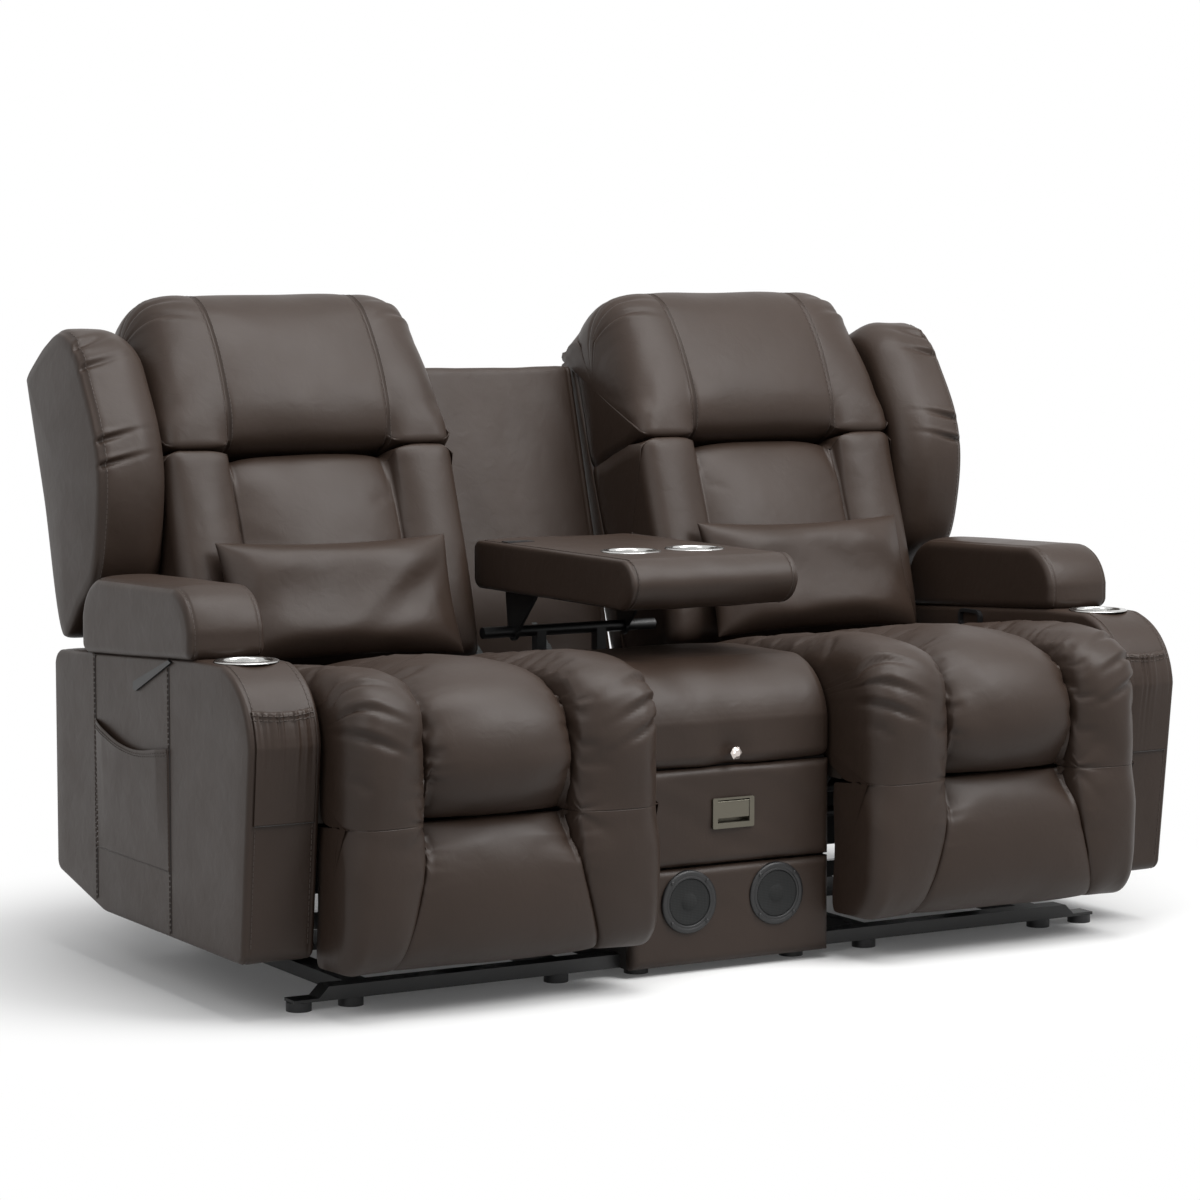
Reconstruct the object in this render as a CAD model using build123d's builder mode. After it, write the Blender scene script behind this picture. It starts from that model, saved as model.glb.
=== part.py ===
from build123d import *
import os
from math import atan2, cos, degrees, hypot, radians, sin, tan

# Rocker recliner loveseat with a centre console, drawer and drop-down table.
# Frame: millimetres, +X to the sitter's left hand side as seen from the front
# (right in the picture), +Y to the back, +Z up, origin on the floor at the middle.
# Everything for one seat is made on the +X side and mirrored for the other seat.

# Arms
arm_inner = 757.0            # half distance between the inner faces of the arms
arm_width = 121.0
arm_bottom = 91.0            # the arms hang clear of the floor so that the seat can rock
arm_top = 540.0
arm_front_top = -441.0       # front face, carried up to the top corner
arm_front_bottom = -394.0    # the front face leans back towards its foot
arm_rear = 349.0
arm_top_rear = 504.0         # the top falls a little towards the back
arm_heel_start = 150.0       # the underside is cut up behind this point
arm_heel_rise = 44.0
arm_nose_radius = 105.0

# Arm pads
pad_front = -228.0
pad_rear = 205.0
pad_height = 106.0
pad_overhang = 9.0
pad_end_radius = 62.0
pad_crown = 7.0

# Cup holders
cup_y = -289.0
cup_radius = 38.0            # clear inside radius
cup_wall = 1.2
cup_depth = 66.0
cup_rim_radius = 51.0
cup_rim_thick = 3.0
cup_play = 0.4

# Pockets on the arms
pocket_wall = 2.6
pocket_gap = 7.5
front_pocket_gap = 12.0
pocket_edge = 5.0
front_pocket_low = 306.0
front_pocket_high = 478.0
side_pocket_front = -128.0
side_pocket_rear = 164.0
side_pocket_low = 196.0
side_pocket_high = 399.0

# Base rails and rocker pivots
glide_radius = 20.0
glide_height = 14.0
rail_width = 36.0
rail_height = 22.0
rail_front = -328.0
rail_rear = 250.0
rail_past_plate = 27.0       # rear rail beyond the inner plate
rail_past_arm = 12.0         # rails reach under the arm
glide_step = 89.0            # between the two outer glides in front
rear_glide_step = 50.0       # rear outer glide inside the side rail
side_rail_width = 24.0
outer_rail_width = 40.0
outer_rail_inset = 107.0     # middle of the outer side rail inside the arm
rail_tab = 42.0              # flattened outer end of the front rail
rail_tab_thick = 5.0
saddle_thick = 8.0           # plate across the side rails that carries the uprights
upright_thick = 6.0
upright_foot = 120.0
rock_y = 0.0
rock_z = 150.0
rock_pin_radius = 8.0
pin_play = 0.05
rock_gap = 6.0

# Mechanism plates and footrest links
plate_thick = 4.0
bearer_offset = 108.0        # from the frame's inner face to the inner plate
side_timber = 29.0           # timber between the outer plate and the arm
layer_gap = 2.0
link_width = 26.0
link_pin_radius = 6.0
link_a_y = -160.0
link_a_z = 305.0
link_a_length = 245.0
link_a_rest = -116.0         # degrees from straight ahead, up is positive
link_b_length = 351.5
link_b_rest = 10.7
link_tube_radius = 9.0

# Seat frame and cushion
frame_clear = 11.0           # frame to console
frame_front = -400.0
frame_rear = 232.0
frame_bottom = 300.0
frame_top = 372.0
frame_bar = 22.0
front_bar_bottom = 318.0
slat_count = 5
slat_width = 60.0
slat_thick = 9.0
soft_gap = 0.4
seat_clear = 8.0             # cushion to console
seat_arm_clear = 11.0        # cushion to arm
inner_bolster = 157.0
outer_bolster = 134.0
seat_crest = 520.0
seat_rear = 118.0
seat_rear_top = 458.0
seat_front = -508.0
seat_crease_y = -458.0
seat_bolster_y = -497.0      # lower front edge of the side channels
seat_crease_z = 302.0
seat_brow_y = -405.0
seat_brow_drop = 8.0
seat_mid_y = -190.0
seat_bulge_z = 415.0
seat_lip_gap = 2.0
seat_channel = 30.0          # how far the seams are drawn in below the crown

# Footrest
rest_board_thick = 18.0
rest_board_gap = 18.0        # from the link pin to the back of the tray
rest_clear = 10.0            # footrest to console and to arm
rest_front = -509.0
rest_bottom = 71.0
rest_top = 289.0
rest_top_depth = 28.0
rest_bolster_depth = 62.0
rest_split = 3.0             # between the seat's and the footrest's side channels
rest_hem_depth = 12.0
rest_hem_rise = 6.0
rest_bulge_z = 165.0
rest_channel = 24.0

# Back
back_lean = 20.0
back_pivot_y = 286.0
back_pivot_z = 400.0
back_reach = 2.0             # the back reaches this far over the console
back_arm_clear = 25.0        # back to the plane of the arm's inner face
back_inner_channel = 120.0
back_outer_channel = 126.0
back_tube = 25.0
web_thick = 6.0              # board across the back frame
back_frame_top = 602.0       # measured up the leaning back from its pivot
back_shell_wall = 4.0
shell_rise = 5.0
back_rear = 20.0             # depth behind the pivot line
back_face = 28.0             # where the padding starts in front of the pivot line
back_front = 205.0
back_low = 15.0
back_crease = 389.0
back_crease_depth = 176.0
back_channel = 22.0
back_mid = 230.0
back_hem_draw = 18.0
crease_gap = 1.0
head_top = 695.0
head_front = 222.0
head_end = 40.0
head_rear_rise = 650.0
head_rear_depth = 6.0
head_crown_depth = 92.0
head_shoulder = 675.0
head_shoulder_depth = 148.0
head_brow = 618.0
head_brow_depth = 186.0
head_mid = 480.0
head_round = 60.0
head_round_draw = 10.0

# Wings on the outer side of each back
wing_inset = 16.0            # wing's outer face inside the arm's outer face
wing_roll = 50.0             # from the back's side to the fullest part of the roll
wing_heel_y = 344.0
wing_heel_z = 522.0
wing_rear_y = 503.0
wing_rear_z = 953.0
wing_top_y = 440.0
wing_top_z = 1008.0
wing_crown_y = 348.0
wing_crown_z = 1038.0
wing_shoulder_y = 282.0
wing_shoulder_z = 1012.0
wing_brow_y = 236.0
wing_brow_z = 950.0
wing_nose_y = 172.0
wing_nose_z = 800.0
wing_toe_y = 208.0
wing_toe_z = 628.0
wing_side_draw = 44.0        # how far the roll is drawn in beside the back
wing_face_draw = 30.0        # and at the outer face
wing_side_drop = 26.0
wing_face_drop = 14.0

# Lumbar pillows
pillow_shift = 6.0           # pillow off the middle of the back, to the arm
pillow_width = 440.0
pillow_low = 0.0
pillow_high = 222.0
pillow_thick = 104.0
pillow_edge = 12.0
pillow_taper = 14.0

# Release pulls
pull_length = 66.0
pull_height = 34.0
pull_bar = 6.0
pull_thick = 8.0
pull_y = 0.0
pull_drop = 4.0

# Console
console_half = 190.0
console_front = -385.0
console_rear = 140.0
board = 12.0
panel_thick = 20.0
panel_crown = 7.0
panel_top = 172.0
drawer_bottom = 175.0
drawer_top = 334.0
deck_top = 336.0
speaker_x = 84.0
speaker_z = 118.0
speaker_radius = 51.5
speaker_cone_radius = 37.0
speaker_bezel_thick = 6.0
speaker_depth = 46.0
screw_radius = 3.0
drawer_wall = 9.0
drawer_clear = 40.0          # drawer box inside the console's outer face
drawer_depth = 420.0
drawer_box_low = 186.0
drawer_box_high = 316.0
runner_low = 238.0
runner_high = 262.0
runner_play = 0.3
ledge_height = 10.0
handle_width = 79.0
handle_height = 50.0
handle_z = 258.0
handle_rim = 9.0
handle_proud = 3.5
handle_depth = 17.0
handle_wall = 2.0
flap_thick = 2.5
flap_drop = 30.0
flap_pin_radius = 1.5
flap_gap = 0.5

# Console lid
lid_bottom = 338.0
lid_top = 500.0
lid_rear = -86.0
lid_skirt = 14.0
lid_pad = 72.0
lid_nose = 52.0
lid_hinge_y = -66.0
lid_hinge_z = 352.0
lid_pin_radius = 4.0
lid_ear_inset = 60.0
bin_clear = 30.0             # bin inside the console's outer face
bin_front = -350.0
bin_rear = -112.0
bin_height = 52.0
knob_z = 356.0
knob_radius = 11.0
knob_stem_radius = 4.0
knob_length = 15.0

# Drop-down table
table_inset = 30.0
table_front = -335.0
table_rear = 205.0
table_bottom = 587.0
table_top = 669.0
table_nose = 38.0
table_tail = 14.0
table_cup_x = 62.0
table_cup_y = -165.0
table_pivot_y = 150.0
table_pivot_z = 512.0
bar_radius = 10.0
bar_inset = 18.0
post_x = 60.0
table_arm_x = 110.0
table_arm_thick = 6.0
usb_x = -118.0
usb_y = 120.0
usb_length = 52.0
usb_width = 24.0
usb_proud = 2.0

# Centre back panel
centre_inset = 18.0
centre_top = 958.0
centre_top_y = 462.0
centre_lean = 16.0
centre_low = 250.0
centre_thick = 22.0
cloth_top = 505.0
cloth_thick = 1.6

# Strap at the left arm
strap_thick = 4.0

# Sizes that follow from the values above
drawer_half = console_half - drawer_clear
bin_half = console_half - bin_clear
lid_ear_x = console_half - lid_ear_inset
table_half = console_half - table_inset
bar_half = console_half - bar_inset
centre_half = console_half - centre_inset
frame_inner = console_half + frame_clear
plate_inner = frame_inner + bearer_offset
plate_outer = arm_inner - side_timber
rail_inner_end = plate_inner - rail_past_plate
rail_outer_end = arm_inner + rail_past_arm
outer_rail_x = arm_inner - outer_rail_inset
seat_inner = console_half + seat_clear
seat_outer = arm_inner - seat_arm_clear
seat_seam_inner = seat_inner + inner_bolster
seat_seam_outer = seat_outer - outer_bolster
rest_inner = console_half + rest_clear
rest_outer = arm_inner - rest_clear
back_inner = console_half - back_reach
back_outer = arm_inner - back_arm_clear
back_seam_inner = back_inner + back_inner_channel
back_seam_outer = back_outer - back_outer_channel
pillow_mid = (back_inner + back_outer) / 2 + pillow_shift
console_bottom = glide_height
arm_outer = arm_inner + arm_width
wing_roll_x = back_outer + wing_roll
wing_outer = arm_outer - wing_inset
arm_mid = arm_inner + arm_width / 2
arm_slope = (arm_top - arm_top_rear) / (arm_rear - pad_front)
lean_sin = sin(radians(back_lean))
lean_cos = cos(radians(back_lean))
deck_z = frame_top + soft_gap


def arm_top_at(y):
    # height of the arm's top: level in front of the pad, falling behind it
    return arm_top - max(0.0, y - pad_front) * arm_slope


def on_back(u, v):
    # a point u up the leaning back and v in front of its pivot line, as (y, z)
    return (
        back_pivot_y + u * lean_sin - v * lean_cos,
        back_pivot_z + u * lean_cos + v * lean_sin,
    )


def swing(y, z, angle, length):
    # the far end of a link that points ahead and up by an angle in degrees
    return (y - length * cos(radians(angle)), z + length * sin(radians(angle)))


elbow = swing(link_a_y, link_a_z, link_a_rest, link_a_length)
rest_pin = swing(elbow[0], elbow[1], link_b_rest, link_b_length)
board_rear = rest_pin[0] - rest_board_gap
board_front = board_rear - rest_board_thick

os.makedirs("parts", exist_ok=True)


def block(x0, x1, y0, y1, z0, z1, mode=Mode.ADD):
    with Locations(((x0 + x1) / 2, (y0 + y1) / 2, (z0 + z1) / 2)):
        Box(x1 - x0, y1 - y0, z1 - z0, mode=mode)


def rod_x(x0, x1, y, z, radius, mode=Mode.ADD):
    with Locations(Location(((x0 + x1) / 2, y, z), (0, 90, 0))):
        Cylinder(radius, abs(x1 - x0), mode=mode)


def prism(x0, x1, points, mode=Mode.ADD):
    # a flat outline of (y, z) points carried from x0 to x1
    with BuildSketch(Plane.YZ.offset(x0)) as face:
        with BuildLine():
            Polyline(*points, close=True)
        make_face()
    extrude(face.sketch, amount=x1 - x0, mode=mode)


def prism_y(y0, y1, points, mode=Mode.ADD):
    # a flat outline of (x, z) points carried from y0 to y1
    with BuildSketch(Plane.XZ.offset(-y1)) as face:
        with BuildLine():
            Polyline(*points, close=True)
        make_face()
    extrude(face.sketch, amount=y1 - y0, mode=mode)


def bar(x0, x1, start, end, width, mode=Mode.ADD):
    # a flat link with round ends between two (y, z) points
    run = hypot(end[0] - start[0], end[1] - start[1])
    turn = degrees(atan2(end[1] - start[1], end[0] - start[0]))
    middle = ((start[0] + end[0]) / 2, (start[1] + end[1]) / 2)
    with BuildSketch(Plane.YZ.offset(x0)) as face:
        with Locations(middle):
            SlotCenterToCenter(run, width, rotation=turn)
    extrude(face.sketch, amount=x1 - x0, mode=mode)


def save(builder, name):
    builder.part.label = name
    export_step(builder.part, "parts/" + name + ".step")


def channel_pads(sections, seams, draw):
    # neighbouring padded channels, each one crowned in the middle and drawn in at its seams
    for section, low, high in zip(sections, seams, seams[1:]):
        slices = []
        for x, inset in ((low, draw), ((low + high) / 2, 0.0), (high, draw)):
            with BuildSketch(Plane.YZ.offset(x)) as face:
                with BuildLine():
                    section(inset)
                make_face()
            slices.append(face.sketch)
        loft(slices)


def seat_middle(d):
    # the middle channel rolls in to the crease above the footrest
    seat_section(d, seat_crease_y)


def seat_bolster(d):
    # the side channels run straight down to the footrest
    seat_section(d, seat_bolster_y + d * 0.5)


def seat_section(d, crease_y):
    rear_low = (seat_rear, deck_z)
    rear_high = (seat_rear, seat_rear_top - d)
    brow = (seat_brow_y, seat_crest - seat_brow_drop - d)
    crease = (crease_y, seat_crease_z)
    lip = (frame_front - seat_lip_gap, seat_crease_z)
    step = (frame_front - seat_lip_gap, deck_z)
    Line(rear_low, rear_high)
    ThreePointArc(rear_high, (seat_mid_y, seat_crest - seat_brow_drop - d), brow)
    ThreePointArc(brow, (seat_front + d, seat_bulge_z), crease)
    Line(crease, lip)
    Line(lip, step)
    Line(step, rear_low)


def rest_middle(d):
    rest_section(d, rest_top, rest_top_depth)


def rest_bolster(d):
    # the side channels meet those of the seat
    rest_section(d * 0.6, seat_crease_z - rest_split, rest_bolster_depth - d * 0.6)


def rest_section(d, high, depth):
    top = (board_front - depth, high - d * 0.4)
    bottom = (board_front - rest_hem_depth, rest_bottom + d * 0.4)
    rear_top = (board_front - soft_gap, high - d * 0.4)
    rear_bottom = (board_front - soft_gap, rest_bottom + rest_hem_rise + d * 0.4)
    Line(rear_bottom, rear_top)
    Line(rear_top, top)
    ThreePointArc(top, (rest_front + d, rest_bulge_z), bottom)
    Line(bottom, rear_bottom)


def lumbar_section(d):
    rear_low = on_back(back_low, back_face)
    rear_high = on_back(back_crease - crease_gap, back_face)
    crease = on_back(back_crease - crease_gap, back_crease_depth - d)
    mid = on_back(back_mid, back_front - d)
    hem = on_back(back_low, back_front - back_hem_draw - d)
    Line(rear_low, rear_high)
    Line(rear_high, crease)
    ThreePointArc(crease, mid, hem)
    Line(hem, rear_low)


def head_section(d):
    seat = back_frame_top + shell_rise + soft_gap
    low_rear = on_back(back_crease + crease_gap, back_face)
    high_rear = on_back(seat, back_face)
    cap_rear = on_back(seat, -back_rear + d * 0.5)
    crown_rear = on_back(head_rear_rise - d, -head_rear_depth + d * 0.5)
    crown = on_back(head_top - d, head_crown_depth)
    brow = on_back(head_brow - d, head_brow_depth - d * 0.6)
    crease = on_back(back_crease + crease_gap, back_crease_depth - d)
    Line(low_rear, high_rear)
    Line(high_rear, cap_rear)
    ThreePointArc(cap_rear, crown_rear, crown)
    ThreePointArc(crown, on_back(head_shoulder - d, head_shoulder_depth), brow)
    ThreePointArc(brow, on_back(head_mid, head_front - d), crease)
    Line(crease, low_rear)


def wing_section(front, top):
    heel = (wing_heel_y, wing_heel_z)
    rear = (wing_rear_y, wing_rear_z - top)
    crown = (wing_crown_y, wing_crown_z - top)
    brow = (wing_brow_y + front, wing_brow_z - top)
    toe = (wing_toe_y + front, wing_toe_z)
    Line(heel, rear)
    ThreePointArc(rear, (wing_top_y, wing_top_z - top), crown)
    ThreePointArc(crown, (wing_shoulder_y + front * 0.5, wing_shoulder_z - top), brow)
    ThreePointArc(brow, (wing_nose_y + front, wing_nose_z), toe)
    Line(toe, heel)


def pillow_section(half):
    base = back_front + soft_gap
    flat = base + 0.5 * pillow_edge
    deep = base + pillow_edge + (pillow_thick - pillow_edge) * half
    mid = (pillow_low + pillow_high) / 2
    shrink = (1.0 - half) * pillow_taper
    low = on_back(pillow_low + shrink, flat)
    low_front = on_back(pillow_low + shrink, flat + pillow_edge)
    high_front = on_back(pillow_high - shrink, flat + pillow_edge)
    high = on_back(pillow_high - shrink, flat)
    Line(low, low_front)
    ThreePointArc(low_front, on_back(mid, deep), high_front)
    Line(high_front, high)
    ThreePointArc(high, on_back(mid, base), low)


# Base rails, floor glides and the uprights that carry the rocker pins
with BuildPart() as base_frames:
    for sign in (-1, 1):
        inner_mid = plate_inner - rock_gap - upright_thick / 2
        outer_mid = plate_outer + rock_gap + upright_thick / 2
        top = glide_height + rail_height
        half = rail_width / 2
        tab_start = rail_outer_end - rail_tab
        outline = [
            (sign * console_half, glide_height),
            (sign * rail_outer_end, glide_height),
            (sign * rail_outer_end, glide_height + rail_tab_thick),
            (sign * tab_start, glide_height + rail_tab_thick),
            (sign * (tab_start - rail_height + rail_tab_thick), top),
            (sign * console_half, top),
        ]
        prism_y(rail_front - half, rail_front + half, outline)
        ends = sorted((sign * rail_inner_end, sign * (outer_rail_x + outer_rail_width / 2)))
        block(*ends, rail_rear - half, rail_rear + half, glide_height, top)
        for mid, width in ((inner_mid, side_rail_width), (outer_rail_x, outer_rail_width)):
            half = width / 2
            block(sign * mid - half, sign * mid + half, rail_front, rail_rear, glide_height, top)
        ends = sorted((sign * (inner_mid - side_rail_width / 2), sign * (outer_mid + upright_thick / 2)))
        half = upright_foot / 2
        block(*ends, rock_y - half, rock_y + half, top - 1.0, top + saddle_thick)
        for mid, inward in ((inner_mid, 1), (outer_mid, -1)):
            outline = [
                (rock_y - upright_foot / 2, top + saddle_thick - 2.0),
                (rock_y + upright_foot / 2, top + saddle_thick - 2.0),
                (rock_y + 22.0, rock_z + 22.0),
                (rock_y - 22.0, rock_z + 22.0),
            ]
            prism(sign * mid - upright_thick / 2, sign * mid + upright_thick / 2, outline)
            reach = upright_thick / 2 + rock_gap + plate_thick + 2.0
            rod_x(sign * mid, sign * (mid + inward * reach), rock_y, rock_z, rock_pin_radius)
save(base_frames, "base_frames")

glide_inner = plate_inner - rock_gap - upright_thick / 2 - 2.0
glide_outer = rail_outer_end - glide_radius + 4.0
with BuildPart() as floor_glides:
    for sign in (-1, 1):
        for x, y in (
            (glide_inner, rail_front),
            (glide_outer - glide_step, rail_front),
            (glide_outer, rail_front),
            (glide_inner, rail_rear),
            (outer_rail_x - rear_glide_step, rail_rear),
        ):
            with Locations((sign * x, y, glide_height / 2)):
                Cylinder(glide_radius, glide_height)
        for y in (console_front + 55.0, console_rear - 40.0):
            with Locations((sign * (console_half - 40.0), y, glide_height / 2)):
                Cylinder(glide_radius, glide_height)
save(floor_glides, "floor_glides")

# Console: case with a drawer bay, a speaker bay below it and a bin above it
with BuildPart() as console_case:
    case_front = console_front + panel_thick
    block(-console_half, console_half, case_front, console_rear, console_bottom, deck_top)
    inside = console_half - board
    bay_rear = console_rear - board
    block(-inside, inside, case_front - 1, bay_rear, console_bottom + board, panel_top - 8.0, Mode.SUBTRACT)
    block(-inside, inside, case_front - 1, bay_rear, panel_top, deck_top - board + 2.0, Mode.SUBTRACT)
    block(-bin_half, bin_half, bin_front, bin_rear, deck_top - 1.0, deck_top + bin_height)
    block(
        -bin_half + 8.0, bin_half - 8.0, bin_front + 8.0, bin_rear - 8.0,
        deck_top, deck_top + bin_height + 1.0, Mode.SUBTRACT,
    )
    for sign in (-1, 1):
        x0 = sign * lid_ear_x
        x1 = sign * (lid_ear_x + 8.0)
        bar(x0, x1, (lid_hinge_y, deck_top - 4.0), (lid_hinge_y, lid_hinge_z), 22.0)
        rod_x(sign * (lid_ear_x - 15.0), sign * (lid_ear_x + 4.0), lid_hinge_y, lid_hinge_z, lid_pin_radius)
save(console_case, "console_case")

with BuildPart() as speaker_panel:
    block(
        -console_half, console_half, console_front, console_front + panel_thick,
        console_bottom, panel_top,
    )
    front_edges = speaker_panel.faces().sort_by(Axis.Y)[0].edges()
    fillet(front_edges, panel_crown)
    with BuildSketch(Plane.XZ.offset(-console_front + 5)):
        with Locations((-speaker_x, speaker_z), (speaker_x, speaker_z)):
            Circle(speaker_cone_radius + 5.0)
    extrude(amount=-(panel_thick + 20), mode=Mode.SUBTRACT)
save(speaker_panel, "speaker_panel")

with BuildPart() as speaker_bezels:
    with BuildSketch(Plane.XZ.offset(-console_front)):
        with Locations((-speaker_x, speaker_z), (speaker_x, speaker_z)):
            Circle(speaker_radius)
            Circle(speaker_cone_radius + 0.3, mode=Mode.SUBTRACT)
    extrude(amount=speaker_bezel_thick)
    chamfer(speaker_bezels.faces().filter_by(Axis.Y).sort_by(Axis.Y)[:2].edges(), 1.6)
save(speaker_bezels, "speaker_bezels")

with BuildPart() as speaker_drivers:
    for sign in (-1, 1):
        front = console_front - speaker_bezel_thick + 2.0
        with BuildSketch(Plane.XZ.offset(-front)):
            with Locations((sign * speaker_x, speaker_z)):
                Circle(speaker_cone_radius)
        extrude(amount=-(front - console_front + speaker_bezel_thick + 4.0) - 4.0)
        with BuildSketch(Plane.XZ.offset(-console_front - 3.0)):
            with Locations((sign * speaker_x, speaker_z)):
                Circle(speaker_cone_radius)
        with BuildSketch(Plane.XZ.offset(-console_front - speaker_depth)):
            with Locations((sign * speaker_x, speaker_z)):
                Circle(20.0)
        loft()
save(speaker_drivers, "speaker_drivers")

with BuildPart() as speaker_screws:
    mid_radius = (speaker_radius + speaker_cone_radius) / 2
    offset_xz = mid_radius * cos(radians(45))
    with BuildSketch(Plane.XZ.offset(-console_front + speaker_bezel_thick)):
        for sign in (-1, 1):
            with Locations((sign * speaker_x, speaker_z)):
                with GridLocations(2 * offset_xz, 2 * offset_xz, 2, 2):
                    Circle(screw_radius)
    extrude(amount=1.4)
save(speaker_screws, "speaker_screws")

with BuildPart() as drawer_runners:
    wall = console_half - board
    for sign in (-1, 1):
        x0 = min(sign * (wall - 14.0), sign * wall)
        x1 = max(sign * (wall - 14.0), sign * wall)
        y0 = console_front + panel_thick + 6.0
        block(x0, x1, y0, y0 + drawer_depth - 10.0, runner_low, runner_high)
save(drawer_runners, "drawer_runners")

# Drawer that slides to the front on its runners
box_front = console_front + panel_thick
with BuildPart() as drawer_box:
    block(
        -drawer_half, drawer_half, box_front, box_front + drawer_depth,
        drawer_box_low, drawer_box_high,
    )
    block(
        -drawer_half + drawer_wall, drawer_half - drawer_wall,
        box_front + drawer_wall, box_front + drawer_depth - drawer_wall,
        drawer_box_low + drawer_wall, drawer_box_high + 1.0, Mode.SUBTRACT,
    )
    ledge_out = console_half - board - 2.0
    for sign in (-1, 1):
        x0 = min(sign * (drawer_half - 1.0), sign * ledge_out)
        x1 = max(sign * (drawer_half - 1.0), sign * ledge_out)
        low = runner_high + runner_play
        block(x0, x1, box_front, box_front + drawer_depth, low, low + ledge_height)
save(drawer_box, "drawer_box")

with BuildPart() as drawer_front:
    block(
        -console_half, console_half, console_front, box_front, drawer_bottom, drawer_top,
    )
    fillet(drawer_front.faces().sort_by(Axis.Y)[0].edges(), panel_crown)
    hole_x = handle_width / 2 - handle_rim / 2 + 0.3
    hole_z = handle_height / 2 - handle_rim / 2 + 0.3
    block(
        -hole_x, hole_x, console_front - 1.0, console_front + handle_depth + 0.5,
        handle_z - hole_z, handle_z + hole_z, Mode.SUBTRACT,
    )
save(drawer_front, "drawer_front")

# Recessed drawer pull: a rim, a cup behind it and a flap that swings in
cup_x = handle_width / 2 - handle_rim / 2
cup_z = handle_height / 2 - handle_rim / 2
well_x = handle_width / 2 - handle_rim
well_low = handle_z - handle_height / 2 + handle_rim
well_high = handle_z + handle_height / 2 - 3.0
flap_top = well_high - 4.0
flap_y = console_front - handle_proud + flap_thick / 2 + 1.0
with BuildPart() as handle_frame:
    block(
        -handle_width / 2, handle_width / 2, console_front - handle_proud, console_front,
        handle_z - handle_height / 2, handle_z + handle_height / 2,
    )
    fillet(handle_frame.edges().filter_by(Axis.Y), 3.0)
    block(
        -cup_x, cup_x, console_front - 1.0, console_front + handle_depth,
        handle_z - cup_z, handle_z + cup_z,
    )
    block(
        -well_x, well_x, console_front - handle_proud - 1.0, console_front + handle_depth - handle_wall,
        well_low, well_high - 0.5, Mode.SUBTRACT,
    )
    rod_x(-well_x - 2.6, well_x + 2.6, flap_y, flap_top, flap_pin_radius + pin_play, Mode.SUBTRACT)
save(handle_frame, "handle_frame")

with BuildPart() as handle_flap:
    low = flap_top - flap_drop + 4.0
    x1 = well_x - flap_gap
    block(-x1, x1, flap_y - flap_thick / 2, flap_y + flap_thick / 2, low, flap_top + 1.0)
    rod_x(-x1, x1, flap_y, flap_top, flap_thick / 2 + 0.4)
    rod_x(-well_x - 2.2, well_x + 2.2, flap_y, flap_top, flap_pin_radius)
save(handle_flap, "handle_flap")

# Padded console lid, hollow over the bin, with hinge lugs at its back edge
with BuildPart() as console_lid:
    with BuildSketch(Plane.YZ.offset(-console_half)):
        with BuildLine():
            Polyline(
                (lid_rear, lid_bottom),
                (lid_rear, lid_top - 12.0),
                (lid_rear - 14.0, lid_top),
                (console_front + lid_nose, lid_top),
            )
            ThreePointArc(
                (console_front + lid_nose, lid_top),
                (console_front + lid_nose * 0.3, lid_top - lid_nose * 0.3),
                (console_front, lid_top - lid_nose),
            )
            Polyline(
                (console_front, lid_top - lid_nose),
                (console_front, lid_bottom),
                (lid_rear, lid_bottom),
            )
        make_face()
    extrude(amount=2 * console_half)
    side_faces = console_lid.faces().filter_by(Axis.X)
    side_edges = side_faces.edges().filter_by(lambda e: e.center().Z > lid_bottom + 5.0)
    fillet(side_edges.filter_by(lambda e: e.center().Y < lid_rear - 10.0), 9.0)
    block(
        -console_half + lid_skirt, console_half - lid_skirt,
        console_front + lid_skirt, lid_rear - lid_skirt,
        lid_bottom - 1.0, lid_top - lid_pad, Mode.SUBTRACT,
    )
    for sign in (-1, 1):
        x0 = min(sign * (lid_ear_x - 12.0), sign * (lid_ear_x - 2.0))
        bar(x0, x0 + 10.0, (lid_rear - 4.0, lid_hinge_z), (lid_hinge_y, lid_hinge_z), 14.0)
        rod_x(x0 - 1.0, x0 + 11.0, lid_hinge_y, lid_hinge_z, lid_pin_radius + pin_play, Mode.SUBTRACT)
save(console_lid, "console_lid")

with BuildPart() as lid_knob:
    with BuildSketch(Plane.XZ.offset(-console_front)):
        with Locations((0, knob_z)):
            Circle(knob_stem_radius)
    extrude(amount=knob_length * 0.4)
    for depth, wide in ((0.35, 0.55), (0.7, 1.0)):
        with BuildSketch(Plane.XZ.offset(-console_front + knob_length * depth)):
            with Locations((0, knob_z)):
                RegularPolygon(knob_radius * wide, 6)
    loft(ruled=True)
    for depth, wide in ((0.7, 1.0), (1.0, 0.5)):
        with BuildSketch(Plane.XZ.offset(-console_front + knob_length * depth)):
            with Locations((0, knob_z)):
                RegularPolygon(knob_radius * wide, 6)
    loft(ruled=True)
save(lid_knob, "lid_knob")

# Fixed bars that carry the table and the centre back panel
centre_tan = tan(radians(centre_lean))


def centre_face(z):
    # front face of the leaning centre panel at a height
    return centre_top_y - (centre_top - z) * centre_tan


with BuildPart() as table_bars:
    rod_x(-bar_half, bar_half, table_pivot_y, table_pivot_z, bar_radius)
    post_front = console_rear
    post_rear = console_rear + 2 * bar_radius
    brace_z = 300.0
    for sign in (-1, 1):
        mid = sign * post_x
        block(mid - 9.0, mid + 9.0, post_front, post_rear, 120.0, table_pivot_z)
        brace = [
            (post_rear - 4.0, brace_z - 12.0),
            (centre_face(brace_z - 12.0), brace_z - 12.0),
            (centre_face(brace_z + 12.0), brace_z + 12.0),
            (post_rear - 4.0, brace_z + 12.0),
        ]
        prism(mid - 9.0, mid + 9.0, brace)
save(table_bars, "table_bars")

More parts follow.
